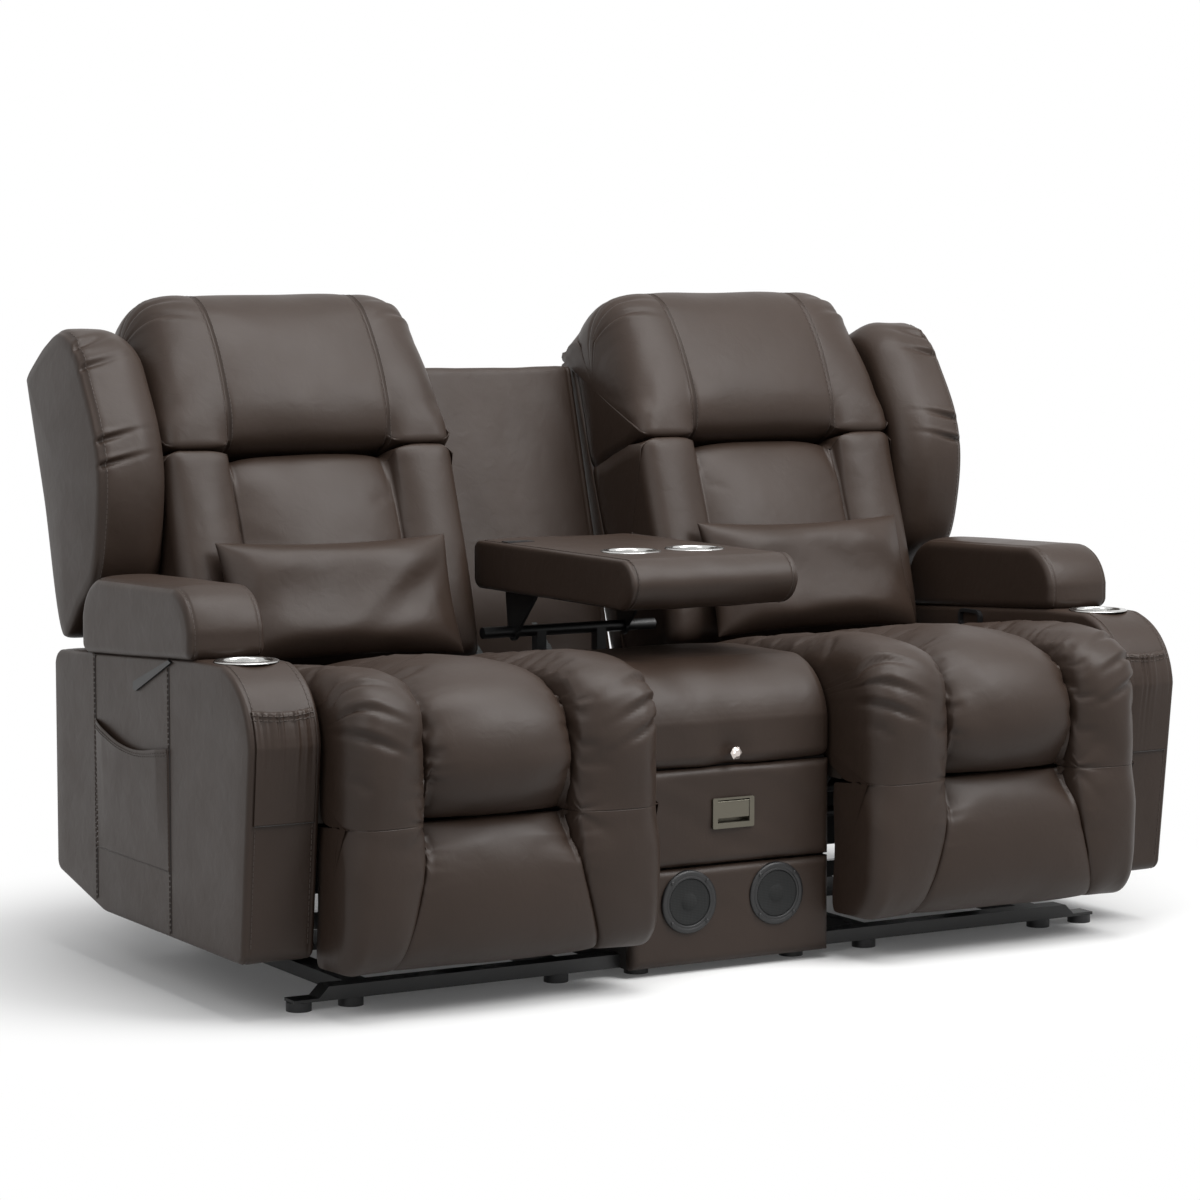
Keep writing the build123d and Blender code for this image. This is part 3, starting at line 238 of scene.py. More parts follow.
# %% Timber, cloth, crystal and thread
def make_timber(dark, light):
    material, tree, shader, place = surface("stained timber " + dark.strip("#"))
    # a wave repeats every 0.31 units at scale 1, so this gives rings about 28 mm apart
    rings = add(tree, "ShaderNodeTexWave", {
        "Vector": place, "Scale": per_metre(90), "Distortion": 7.0, "Detail": 3.0,
    })
    tint = add(tree, "ShaderNodeMix", {
        "Factor": rings.outputs["Fac"], 6: linear(dark), 7: linear(light),
    }, data_type="RGBA")
    connect(tree, shader, {"Base Color": tint.outputs[2], "Roughness": 0.62})
    return material


def make_weave(name, dark, light, thread_mm):
    material, tree, shader, place = surface(name)
    # one wave to two threads; real threads are finer, and these are as coarse as they need to be to show
    warp, weft = (
        add(tree, "ShaderNodeTexWave", {
            "Vector": place, "Scale": per_metre(thread_mm * 6),
        }, bands_direction=way)
        for way in "XZ"
    )
    both = add(tree, "ShaderNodeMath", {0: warp.outputs["Fac"], 1: weft.outputs["Fac"]}, operation="MULTIPLY")
    tint = add(tree, "ShaderNodeMix", {
        "Factor": both.outputs[0], 6: linear(dark), 7: linear(light),
    }, data_type="RGBA")
    dent = add(tree, "ShaderNodeBump", {"Height": both.outputs[0], "Strength": 0.3, "Distance": 0.0005})
    connect(tree, shader, {
        "Base Color": tint.outputs[2], "Normal": dent.outputs[0], "Roughness": 0.85,
    })
    return material


def make_crystal():
    material, tree, shader, place = surface("cut crystal")
    facet_mm = 5
    facet = add(tree, "ShaderNodeTexVoronoi", {"Vector": place, "Scale": per_metre(facet_mm)}, feature="F1")
    dent = add(tree, "ShaderNodeBump", {
        "Height": facet.outputs["Distance"], "Strength": 0.35, "Distance": 0.001,
    })
    connect(tree, shader, {
        "Base Color": linear("#d9cfc9"), "Roughness": 0.1, "Metallic": 0.6, "Normal": dent.outputs[0],
    })
    return material


timber = make_timber("#5d4630", "#705640")
# the seat frames: stained timber made near black, painted shade for the gap beside the console
shade_dark_timber = make_timber("#1d1713", "#29211b")
dust_cloth = make_weave("non-woven dust cloth", "#4d4f4f", "#6b6e6e", 1.6)
grille_cloth = make_weave("speaker grille cloth", "#0d0e0e", "#2b2d2d", 1.4)
crystal = make_crystal()
thread = make_coat("polyester thread", "#453b35", 0.6, grit=0.5)
dark_thread = make_coat("dark seam welt", "#1c1714", 0.6, grit=0.5)

# %% Floor
floor_material, floor_tree, floor_shader, floor_place = surface("white studio floor")
# the floor throws back little light, as a dark studio does, and looks white to the camera
floor_tint = add(floor_tree, "ShaderNodeMix", {
    "Factor": white_share(floor_tree), 6: linear("#8c8a88"), 7: linear("#f7f7f6"),
}, data_type="RGBA")
connect(floor_tree, floor_shader, {
    "Base Color": floor_tint.outputs[2], "Roughness": 0.7, "Specular IOR Level": 0.15,
})
# away from the sofa the floor fades into the white background, over an oval as wide as the shadow
stretch = add(floor_tree, "ShaderNodeVectorMath", {
    0: floor_place, 1: (1 / 1.15, 1 / 0.85, 0.0),
}, operation="MULTIPLY")
far = add(floor_tree, "ShaderNodeVectorMath", {0: stretch.outputs[0]}, operation="LENGTH")
fade = add(floor_tree, "ShaderNodeMapRange", {
    "Value": far.outputs["Value"], "From Min": 0.7, "From Max": 1.4, "To Min": 0.06,
}, interpolation_type="SMOOTHSTEP")
share = add(floor_tree, "ShaderNodeMath", {
    0: white_share(floor_tree), 1: fade.outputs[0],
}, operation="MULTIPLY")
glow = add(floor_tree, "ShaderNodeEmission", {"Color": (1, 1, 1, 1), "Strength": 1.0})
blend = add(floor_tree, "ShaderNodeMixShader", {
    0: share.outputs[0], 1: floor_shader.outputs[0], 2: glow.outputs[0],
})
connect(floor_tree, floor_tree.nodes["Material Output"], {"Surface": blend.outputs[0]})
floor_mesh = bpy.data.meshes.new("floor")
floor_half = 14.0
floor_corners = [(x * floor_half, y * floor_half, 0) for x, y in ((-1, -1), (1, -1), (1, 1), (-1, 1))]
floor_mesh.from_pydata(floor_corners, [], [(0, 1, 2, 3)])
floor_mesh.materials.append(floor_material)
floor = bpy.data.objects.new("floor", floor_mesh)
scene.collection.objects.link(floor)

# %% [markdown]
# ## Shared shape helpers
# A padded piece is a closed outline, drawn in side view, carried across the width of the piece. Each
# control point of the outline has a softness: 1 where the cover is free to swell, 0 where it is stapled
# to the frame. Lengths in these helpers are millimetres, and turn to metres only when the mesh is made.

# %% Outlines
def between(t, p, q, low, high):
    # p at low, q at high, straight between
    return (high - t) / (high - low) * p + (t - low) / (high - low) * q


def smooth_outline(points, count, focus=None):
    # a closed centripetal curve through (y, z, softness) points, sampled at even steps
    pts = np.array(points, float)
    size = len(pts)
    samples = []
    for i in range(size):
        a, b, c, d = (pts[(i + k) % size] for k in (-1, 0, 1, 2))
        knots = [0.0]
        for p, q in ((a, b), (b, c), (c, d)):
            knots.append(knots[-1] + max(np.linalg.norm(q[:2] - p[:2]) ** 0.5, 1e-6))
        t0, t1, t2, t3 = knots
        t = np.linspace(t1, t2, 24, endpoint=False)[:, None]
        bc = between(t, b, c, t1, t2)
        abc = between(t, between(t, a, b, t0, t1), bc, t0, t2)
        bcd = between(t, bc, between(t, c, d, t2, t3), t1, t3)
        samples.append(between(t, abc, bcd, t1, t2))
    return even_steps(np.vstack(samples), count, focus)


def even_steps(line, count, focus=None):
    # a closed line resampled at even steps of length, finer round a focus
    ring = np.vstack([line, line[:1]])
    step = np.linalg.norm(np.diff(ring[:, :2], axis=0), axis=1)
    if focus is not None:
        far = np.linalg.norm(ring[:-1, :2] - np.array(focus), axis=1)
        step = step * (1 + 6 * np.exp(-(far / 7.0) ** 2))
    along = np.concatenate([[0.0], np.cumsum(step)])
    wanted = np.linspace(0.0, along[-1], count, endpoint=False)
    columns = [np.interp(wanted, along, ring[:, k]) for k in range(ring.shape[1])]
    return np.stack(columns, axis=1)


def rounded_outline(corners, count):
    # a closed polygon of (y, z, radius) corners with rounded corners; softness is 1 all round
    samples = []
    size = len(corners)
    for i in range(size):
        before, here, after = (np.array(corners[(i + k) % size][:2], float) for k in (-1, 0, 1))
        radius = corners[i][2]
        into = (before - here) / np.linalg.norm(before - here)
        out = (after - here) / np.linalg.norm(after - here)
        half = np.arccos(np.clip(np.dot(into, out), -1, 1)) / 2
        trim = radius / tan(half)
        start, end = here + into * trim, here + out * trim
        knee = here * 0.62 + (start + end) * 0.19
        for t in np.linspace(0, 1, 14):
            samples.append((1 - t) ** 2 * start + 2 * t * (1 - t) * knee + t ** 2 * end)
    line = np.array(samples)
    return even_steps(np.hstack([line, np.ones((len(line), 1))]), count)


def outward(line):
    # unit normals of a closed line, pointing away from its inside
    ahead = np.roll(line[:, :2], -1, axis=0) - np.roll(line[:, :2], 1, axis=0)
    ahead /= np.linalg.norm(ahead, axis=1)[:, None] + 1e-9
    y, z = line[:, 0], line[:, 1]
    area = np.sum(y * np.roll(z, -1) - np.roll(y, -1) * z)
    side = 1.0 if area > 0 else -1.0
    return side * np.stack([ahead[:, 1], -ahead[:, 0]], axis=1)


def distance_along(line):
    # length along a closed line to each of its points
    step = np.linalg.norm(np.diff(np.vstack([line, line[:1]])[:, :2], axis=0), axis=1)
    return np.concatenate([[0.0], np.cumsum(step)[:-1]])


# %% Swelling, rounding and puckers
def channel_dip(x, seams, power=2.4):
    # 1 on a seam, 0 in the middle of a channel
    for low, high in zip(seams, seams[1:]):
        if low <= x <= high:
            t = abs(2 * (x - low) / (high - low) - 1)
            return 1 - (1 - min(t, 1.0) ** power) ** 0.5
    return 1.0


def end_round(distance, radius):
    # how far an edge has rounded away at a distance from the end
    if distance >= radius:
        return 0.0
    return radius - (radius ** 2 - (radius - max(distance, 0.0)) ** 2) ** 0.5


def wander(values, length, seed):
    # smooth noise along a line, from -1 to 1, with features of that length
    rng = np.random.default_rng(seed)
    knots = rng.uniform(-1, 1, 4096)
    spot = np.asarray(values) / length + 512.0
    base = np.floor(spot).astype(int)
    t = spot - base
    t = t * t * (3 - 2 * t)
    return knots[base % 4096] * (1 - t) + knots[(base + 1) % 4096] * t


def puckers(along, gap, seed, depth=5.0, reach=34.0, pitch=30.0):
    # folds that stand across a seam and die away with the distance to it
    bend = along + gap * 0.25 * wander(along, 160.0, seed + 7)
    ripple = np.clip(wander(bend, pitch, seed), -1.0, 0.35) * (0.6 + 0.4 * wander(along, 120.0, seed + 3))
    return depth * ripple * np.exp(-gap / reach)


def fold(along, spot, width, depth):
    # one pleat across the outline: a groove with the cover folded over on one side of it
    gap = (along - spot) / width
    return -depth * np.exp(-gap ** 2) + 0.45 * depth * np.exp(-((gap - 1.7) / 1.1) ** 2)


# %% Meshes
def skin(name, rings, sign=1, domes=(4.0, 4.0), cap_steps=7):
    # a closed mesh through rings of (x, y, z) points, with domed ends; lengths in mm
    rings = [np.array(r, float) for r in rings]
    first, last = rings[0], rings[-1]

    def cap(ring, dome, toward):
        middle = ring.mean(axis=0)
        steps = []
        for k in range(1, cap_steps):
            t = k / cap_steps
            inner = middle + (ring - middle) * (1 - t)
            inner[:, 0] = ring[:, 0] + toward * dome * (1 - (1 - t) ** 2)
            steps.append(inner)
        peak = middle.copy()
        peak[0] = ring[:, 0].mean() + toward * dome
        return steps, peak

    low_steps, low_peak = cap(first, domes[0], -1 if last[:, 0].mean() > first[:, 0].mean() else 1)
    high_steps, high_peak = cap(last, domes[1], 1 if last[:, 0].mean() > first[:, 0].mean() else -1)
    stack = low_steps[::-1] + rings + high_steps
    count = len(first)
    points = np.vstack(stack + [low_peak[None], high_peak[None]])
    points[:, 0] *= sign
    faces = []
    for i in range(len(stack) - 1):
        for j in range(count):
            k = (j + 1) % count
            faces.append((i * count + j, i * count + k, (i + 1) * count + k, (i + 1) * count + j))
    low_id, high_id = len(points) - 2, len(points) - 1
    top = (len(stack) - 1) * count
    for j in range(count):
        k = (j + 1) % count
        faces.append((low_id, k, j))
        faces.append((high_id, top + j, top + k))
    obj = mesh_object(name, points, faces)
    obj["first_ring"] = len(low_steps)
    obj["ring_size"] = count
    return obj


def quads(ids):
    # the faces of a grid of point numbers
    corners = (ids[:-1, :-1], ids[1:, :-1], ids[1:, 1:], ids[:-1, 1:])
    return np.stack(corners, axis=-1).reshape(-1, 4).tolist()


def mesh_object(name, points, faces):
    # a smooth-shaded object from points in mm
    mesh = bpy.data.meshes.new(name)
    mesh.from_pydata((np.asarray(points) / 1000.0).tolist(), [], faces)
    work = bmesh.new()
    work.from_mesh(mesh)
    bmesh.ops.recalc_face_normals(work, faces=work.faces)
    work.to_mesh(mesh)
    work.free()
    mesh.polygons.foreach_set("use_smooth", [True] * len(mesh.polygons))
    obj = bpy.data.objects.new(name, mesh)
    scene.collection.objects.link(obj)
    return obj


def positions(obj):
    # an object's points, in metres
    flat = np.empty(len(obj.data.vertices) * 3)
    obj.data.vertices.foreach_get("co", flat)
    return flat.reshape(-1, 3)


def cloth_move(obj, held, pressure, frames, grow):
    # how far each point of a cover moves, in mm, when it is blown up like a cushion; held points stay
    start = positions(obj).copy()
    group = obj.vertex_groups.new(name="held")
    group.add([int(i) for i in np.nonzero(held)[0]], 1.0, "REPLACE")
    cloth = obj.modifiers.new("cover", "CLOTH")
    setting = cloth.settings
    setting.quality = 4
    setting.mass = 0.4
    setting.tension_stiffness = 30.0
    setting.compression_stiffness = 20.0
    setting.bending_stiffness = 2.5
    setting.use_pressure = True
    setting.uniform_pressure_force = pressure
    setting.vertex_group_mass = "held"
    setting.shrink_min = -grow
    setting.effector_weights.gravity = 0.0
    cloth.point_cache.frame_start = 1
    cloth.point_cache.frame_end = frames
    for step in range(1, frames + 1):
        scene.frame_set(step)
    graph = bpy.context.evaluated_depsgraph_get()
    result = obj.evaluated_get(graph).to_mesh()
    flat = np.empty(len(result.vertices) * 3)
    result.vertices.foreach_get("co", flat)
    obj.evaluated_get(graph).to_mesh_clear()
    obj.modifiers.remove(cloth)
    obj.vertex_groups.remove(group)
    scene.frame_set(1)
    return (flat.reshape(-1, 3) - start) * 1000.0


def capped(move, cap_mm):
    # movements no longer than cap_mm
    length = np.linalg.norm(move, axis=-1, keepdims=True)
    return move * np.minimum(1.0, cap_mm / np.maximum(length, 1e-6))


def swell_rings(name, rings, free, cap_mm, share=1.0, pressure=4.0, frames=16, grow=0.0):
    # run the cloth solver on every second ring and point, and spread the movement over all of them
    fine = np.array(rings)
    rows = np.unique(np.append(np.arange(0, fine.shape[0], 2), fine.shape[0] - 1))
    columns = np.arange(0, fine.shape[1], 2)
    cover = skin("swelling", list(fine[np.ix_(rows, columns)]), domes=(1.0, 1.0), cap_steps=3)
    first, size = cover["first_ring"], cover["ring_size"]
    loose = free[np.ix_(rows, columns)].copy()
    loose[[0, -1]] = False
    held = np.ones(len(cover.data.vertices), bool)
    held[first * size:(first + len(rows)) * size] = ~loose.ravel()
    move = cloth_move(cover, held, pressure, frames, grow)
    bpy.data.objects.remove(cover)
    move = capped(move[first * size:(first + len(rows)) * size].reshape(len(rows), size, 3), cap_mm)
    around = np.concatenate([move, move[:, :1]], axis=1)
    stops = np.append(columns, fine.shape[1])
    wide = np.empty((len(rows), fine.shape[1], 3))
    full = np.empty(fine.shape)
    for axis in range(3):
        for i in range(len(rows)):
            wide[i, :, axis] = np.interp(np.arange(fine.shape[1]), stops, around[i, :, axis])
        for j in range(fine.shape[1]):
            full[:, j, axis] = np.interp(np.arange(fine.shape[0]), rows, wide[:, j, axis])
    print(name, "swelled up to", round(float(np.linalg.norm(full, axis=-1).max()), 1), "mm")
    return fine + full * np.broadcast_to(share, fine.shape[:2])[..., None]


def cut(obj, cutter):
    # take a cutter's shape out of a piece
    tool = obj.modifiers.new("cut", "BOOLEAN")
    tool.operation = "DIFFERENCE"
    tool.solver = "EXACT"
    tool.object = cutter
    bake(obj)
    bpy.data.objects.remove(cutter)


def bake(obj):
    # put the result of an object's modifiers into a plain mesh
    graph = bpy.context.evaluated_depsgraph_get()
    mesh = bpy.data.meshes.new_from_object(obj.evaluated_get(graph))
    obj.modifiers.clear()
    old = obj.data
    obj.data = mesh
    bpy.data.meshes.remove(old)


def box_cutter(low, high):
    corners = [(x, y, z) for x in (low[0], high[0]) for y in (low[1], high[1]) for z in (low[2], high[2])]
    faces = [(0, 1, 3, 2), (4, 6, 7, 5), (0, 4, 5, 1), (2, 3, 7, 6), (0, 2, 6, 4), (1, 5, 7, 3)]
    return mesh_object("cutter", corners, faces)


def drum_cutter(x, y, low, high, radius):
    steps = 64
    angles = [2 * pi * k / steps for k in range(steps)]
    ring = [(x + radius * cos(angle), y + radius * sin(angle)) for angle in angles]
    points = [(a, b, low) for a, b in ring] + [(a, b, high) for a, b in ring]
    faces = [(k, (k + 1) % steps, steps + (k + 1) % steps, steps + k) for k in range(steps)]
    faces += [tuple(range(steps))[::-1], tuple(range(steps, 2 * steps))]
    return mesh_object("cutter", points, faces)


def dress(obj, material, body, stands_for=()):
    # give a piece its finish and its body, and say which solids it stands for
    obj.data.materials.clear()
    obj.data.materials.append(material)
    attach(obj, body)
    if stands_for:
        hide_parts(*stands_for)


sides = (("left", -1), ("right", 1))

# %% [markdown]
# ## Seat cushions and footrest pads
# Each seat has a wide middle channel and two plump side channels. The side channels run on without a break
# down the front of the footrest; only the middle rolls in to a crease. Gathered seams pucker the leather.

# %% Seat outlines
console_side = 190.0
arm_side = 757.0
seat_ends = (199.0, 747.0)
seat_seams = (355.0, 612.0)
meeting = (-511.5, 300.0)    # where the seat's front edge meets the footrest's
nose_y = -465.0              # in front of this, the rolled front of seat and footrest
seam_hold = 7.0              # the cover doesn't swell this close to a seam
sharp_edge = radians(62)
seat_middle = [
    (118, 373, 0), (-140, 373, 0), (-396, 373, 0), (-402, 366, 0), (-402, 312, 0), (-410, 305, 0),
    (-440, 300.3, 0.3), (-464, 303, 0.8), (-492, 330, 1), (-510, 372, 1), (-509, 410, 1),
    (-494, 452, 1), (-464, 489, 1), (-416, 514, 1), (-350, 523, 1), (-270, 519, 1), (-130, 504, 1),
    (30, 480, 1), (100, 464, 0.8), (118, 440, 0.2), (118, 405, 0),
]
seat_side = [
    (118, 373, 0), (-140, 373, 0), (-396, 373, 0), (-402, 366, 0), (-402, 312, 0), (-410, 302, 0),
    (-450, 300.2, 0), (-498, 300.1, 0.4), (-511.4, 300.2, 1), (-512, 304, 1), (-512.5, 322, 1),
    (-513, 385, 1), (-512, 430, 1), (-498, 486, 1), (-456, 518, 1), (-390, 528, 1), (-280, 522, 1),
    (-130, 506, 1), (30, 482, 1), (100, 465, 0.8), (118, 440, 0.2), (118, 405, 0),
]
rest_middle = [
    (-434.6, 78, 0), (-434.6, 180, 0), (-434.6, 292, 0), (-446, 298.4, 0.2), (-467, 295, 0.8),
    (-491, 270, 1), (-504, 235, 1), (-510, 190, 1), (-508, 140, 1), (-496, 100, 1), (-472, 77, 0.8),
    (-448, 72, 0.3),
]
rest_side = [
    (-434.6, 78, 0), (-434.6, 180, 0), (-434.6, 296, 0), (-448, 299.4, 0), (-498, 299.5, 0.4),
    (-511.4, 299.4, 1), (-512, 296, 1), (-512.5, 278, 1), (-512, 235, 1), (-511, 190, 1),
    (-507, 140, 1), (-495, 100, 1), (-472, 77, 0.8), (-448, 72, 0.3),
]


def from_end(x, ends):
    # distance to the nearer of two ends
    return min(x - ends[0], ends[1] - x)


def side_share(x, seams, change=16.0):
    # 0 in the middle channel, 1 in the side channels, with a short change at the seam
    return float(np.clip(0.5 - from_end(x, seams) / change, 0.0, 1.0))


def seat_dip(x):
    # how far the two seams and the ends draw the cover in
    dip = 38.0 * channel_dip(x, (seat_ends[0] - 30, *seat_seams, seat_ends[1] + 30))
    return dip + end_round(from_end(x, seat_ends) + 4.0, 54.0)


def ease(values):
    # 0 below 0, 1 above 1, smooth between
    t = np.clip(values, 0.0, 1.0)
    return t * t * (3 - 2 * t)


def stations(ends, seams, count):
    # places across the width, closer together beside the seams
    extra = [seam + step for seam in seams for step in (-9, -5, -2.2, 0, 2.2, 5, 9)]
    places = np.concatenate([np.linspace(*ends, count), extra])
    places.sort()
    return places[np.append(True, np.diff(places) > 0.9)]


def facing_front(normal, share):
    # turn a dip towards the front where seat and footrest meet, so that their edges stay together
    turned_way = normal * (1 - share)[:, None] + np.array([-1.0, 0.0]) * share[:, None]
    return turned_way / np.linalg.norm(turned_way, axis=1)[:, None]


def crease_fan(x, line, seed):
    # short folds that spread into the side channels from the ends of the middle crease
    total = np.zeros(len(line))
    for k, (seam, way) in enumerate(zip(seat_seams, (-1, 1))):
        into = (x - seam) * way
        if into < 0:
            continue
        rise = line[:, 1] - 302.0
        far = np.hypot(into, rise)
        rays = 0.5 + 0.5 * np.cos(7.0 * np.arctan2(rise, into + 1e-3) + seed + k)
        total -= 6.0 * rays ** 2 * np.exp(-far / 30.0) * np.minimum(far / 12.0, 1.0) * (line[:, 0] < nose_y)
    return total


def gathered(along, gap, seed, fine=8.0, long=7.0):
    # small scallops right at a seam and longer folds that reach away from it
    near = puckers(along, gap, seed, fine, 15.0, 11.0)
    return near + puckers(along, gap, seed + 71, long, 44.0, 34.0)


def channelled(outlines, size, ends, seams, count, shape, firm, focus=None):
    # rings across a cushion whose middle and side channels have outlines of their own;
    # shape(x, mix, line, along) gives how far each point moves along its normal, and the normals
    middle, flank = (smooth_outline(outline, size, focus) for outline in outlines)
    across, lines, rings, free = stations(ends, seams, count), [], [], []
    for x in across:
        mix = side_share(x, seams)
        line = middle * (1 - mix) + flank * mix
        soft = line[:, 2]
        move, normal = shape(x, mix, line, distance_along(line))
        yz = line[:, :2] + normal * (move * soft)[:, None]
        rings.append(np.column_stack([np.full(len(yz), x), yz]))
        on_seam = min(abs(x - seam) for seam in seams) < seam_hold
        free.append((soft > firm) & (not on_seam))
        lines.append(line)
    return across, np.array(lines), np.array(rings), np.array(free)


# %% Seat cushions
def seat_cushion(side, sign, seed):
    def shape(x, mix, line, along):
        low_front = ease((342.0 - line[:, 1]) / 36.0) * (line[:, 0] < nose_y)
        above = ease((line[:, 1] - 303.0) / 40.0)
        move = -seat_dip(x) + crease_fan(x, line, seed)
        for k, seam in enumerate(seat_seams):
            move = move + above * gathered(along, abs(x - seam), seed + 11 * k)
        outer, inner = seat_ends[1] - x, x - seat_ends[0]
        for k, spot in enumerate((822.0, 872.0, 930.0)):
            for gap, place, wide in ((outer, spot + 26, 62.0), (inner, spot + 14 - 9 * k, 66.0)):
                move = move + fold(along + gap * 0.45, place, 7.0, 9.0) * np.exp(-(gap / wide) ** 2)
        move = move + above * puckers(along, min(outer, inner), seed + 57, 5.0, 20.0, 17.0)
        move = move + above * 2.0 * wander(along + 2.2 * x, 120.0, seed + 40)
        return move, facing_front(outward(line), low_front)

    lines, rings, free = channelled(
        (seat_middle, seat_side), 330, seat_ends, seat_seams, 92, shape, 0.5, meeting,
    )[1:]
    share = ease((lines[:, :, 1] - 303.0) / 90.0)
    rings = swell_rings("seat " + side, rings, free, 24.0, share, grow=0.02)
    obj = skin("seat_cover_" + side, rings, sign, domes=(5.0, 5.0))
    obj.data.set_sharp_from_angle(angle=sharp_edge)
    dress(obj, leather, "rocker_" + side, ["seat_cushion_" + side])


for side, sign in sides:
    seat_cushion(side, sign, 100 if sign > 0 else 300)
print("seat cushions ready")


# %% Footrest pads
rest_rear, wrap_rear = -434.6, -386.0
tray_clear = 24.0
seam_spread = 52.0           # how far the seams part towards the floor


def footrest_pad(side, sign, seed):
    middle_x = sum(seat_seams) / 2
    half = (seat_seams[1] - seat_seams[0]) / 2

    def lowness(line):
        return np.clip((290.0 - line[:, 1]) / 215.0, 0.0, 1.0)

    def shape(x, mix, line, along):
        near_seat = ease((line[:, 1] - 225.0) / 70.0)
        high_front = ease((line[:, 1] - 260.0) / 34.0) * (line[:, 0] < nose_y)
        dip = 20.0 * channel_dip(x, (seat_ends[0] - 40, *seat_seams, seat_ends[1] + 40), 3.4)
        own = dip * (1.0 - 0.6 * lowness(line)) + end_round(from_end(x, seat_ends) + 4.0, 42.0)
        below = ease((296.0 - line[:, 1]) / 30.0)
        top = np.clip((line[:, 1] - 170.0) / 90.0, 0.0, 1.0) * below
        move = -(seat_dip(x) * near_seat + own * (1.0 - near_seat)) + crease_fan(x, line, seed - 400)
        for k, seam in enumerate(seat_seams):
            move = move + top * gathered(along, abs(x - seam), seed + 9 * k, 6.0, 9.0)
            move = move - 2.2 * np.exp(-((x - seam) / 3.0) ** 2)
        move = move + below * 1.8 * wander(along + 1.7 * x, 120.0, seed + 40)
        return move, facing_front(outward(line), high_front)

    across, lines, rings, free = channelled(
        (rest_middle, rest_side), 200, seat_ends, seat_seams, 92, shape, 0.7, meeting,
    )
    for x, line, ring in zip(across, lines, rings):
        # the cover wraps round the ends of the tray, and the seams part towards the floor
        ends = from_end(x, seat_ends)
        wrap = float(ease((tray_clear - ends) / 8.0)) * (wrap_rear - rest_rear)
        ring[:, 1] += wrap * ease((ring[:, 1] - rest_rear + 22.0) / 22.0) * ease((297.0 - ring[:, 2]) / 5.0)
        reach = np.clip((x - middle_x) / half, -1, 1)
        edge = np.clip(ends / (seat_seams[0] - seat_ends[0]), 0, 1) if abs(x - middle_x) > half else 1.0
        ring[:, 0] += seam_spread * lowness(line) ** 1.5 * reach * edge
    share = ease((297.0 - lines[:, :, 1]) / 70.0)
    rings = swell_rings("footrest " + side, rings, free, 9.0, share)
    obj = skin("footrest_cover_" + side, rings, sign)
    obj.data.set_sharp_from_angle(angle=sharp_edge)
    dress(obj, leather, "footrest_" + side, ["footrest_pad_" + side])


for side, sign in sides:
    footrest_pad(side, sign, 500 if sign > 0 else 700)
print("footrest pads ready")

# %% [markdown]
# ## Backs
# The back leans twenty degrees from its hinge. A point on it is written as its height up the back and its
# depth in front of the hinge line. A rolled headrest overhangs three lumbar channels; a padded wing
# closes the outer side.

# %% Back outlines
back_lean = radians(20.0)
back_hinge = (286.0, 400.0)
back_ends = (190.0, 730.0)
back_seams = (308.0, 606.0)


def on_back(points):
    # (height, depth, softness) on the leaning back as (y, z, softness)
    pts = np.array(points, float)
    y = back_hinge[0] + pts[:, 0] * sin(back_lean) - pts[:, 1] * cos(back_lean)
    z = back_hinge[1] + pts[:, 0] * cos(back_lean) + pts[:, 1] * sin(back_lean)
    return np.column_stack([y, z, pts[:, 2]])


lumbar = [
    (15, 28, 0), (200, 28, 0), (387, 28, 0), (388, 60, 0), (388, 150, 0.5), (384, 178, 0.9), (350, 196, 1),
    (290, 206, 1), (210, 209, 1), (130, 207, 1), (60, 200, 1), (25, 186, 0.8), (15, 160, 0.3), (15, 80, 0),
]
headroll = [
    (391, 30, 0), (500, 29, 0), (606, 29, 0), (607.6, 20, 0), (607.6, -12, 0), (611, -21, 0.3),
    (640, -20, 0.6), (674, 2, 1), (693, 45, 1), (698, 95, 1), (686, 142, 1), (652, 180, 1),
    (590, 206, 1), (520, 221, 1), (455, 225, 1), (412, 211, 1), (394, 188, 0.8), (391, 150, 0.3),
    (391, 80, 0),
]

lumbar_side = lumbar[:4] + [
    (388.4, 170, 0), (388.6, 200, 0.6), (387.6, 210, 1), (378, 214, 1), (350, 213, 1),
    (290, 211, 1), (210, 210, 1),
] + lumbar[9:]
headroll_side = headroll[:13] + [
    (520, 220, 1), (455, 220, 1), (412, 217, 1), (398, 215, 1), (391.4, 210, 1), (390.6, 200, 0.6),
    (391, 170, 0), (391, 80, 0),
]


def up_the_back(line):
    # height up the leaning back of (y, z) points
    return (line[:, 0] - back_hinge[0]) * sin(back_lean) + (line[:, 1] - back_hinge[1]) * cos(back_lean)


def lumbar_dip(x):
    # how far the two seams and the ends draw the lumbar cover in
    dip = 24.0 * channel_dip(x, (back_ends[0] - 26, *back_seams, back_ends[1] + 26), 3.6)
    return dip + end_round(from_end(x, back_ends) + 4.0, 34.0)


# %% Lumbar channels
def lumbar_pad(side, sign, seed):
    def shape(x, mix, line, along):
        move = -lumbar_dip(x)
        for k, seam in enumerate(back_seams):
            move = move + puckers(along, abs(x - seam), seed + 5 * k, 2.2, 20.0, 26.0)
        return move + 1.6 * wander(along + 1.9 * x, 150.0, seed + 40), outward(line)

    rings, free = channelled(
        (on_back(lumbar), on_back(lumbar_side)), 240, back_ends, back_seams, 84, shape, 0.7,
    )[2:]
    rings = swell_rings("lumbar " + side, rings, free, 7.0)
    obj = skin("lumbar_cover_" + side, rings, sign, domes=(2.0, 2.0))
    dress(obj, leather, "back_" + side, ["back_cushion_" + side])


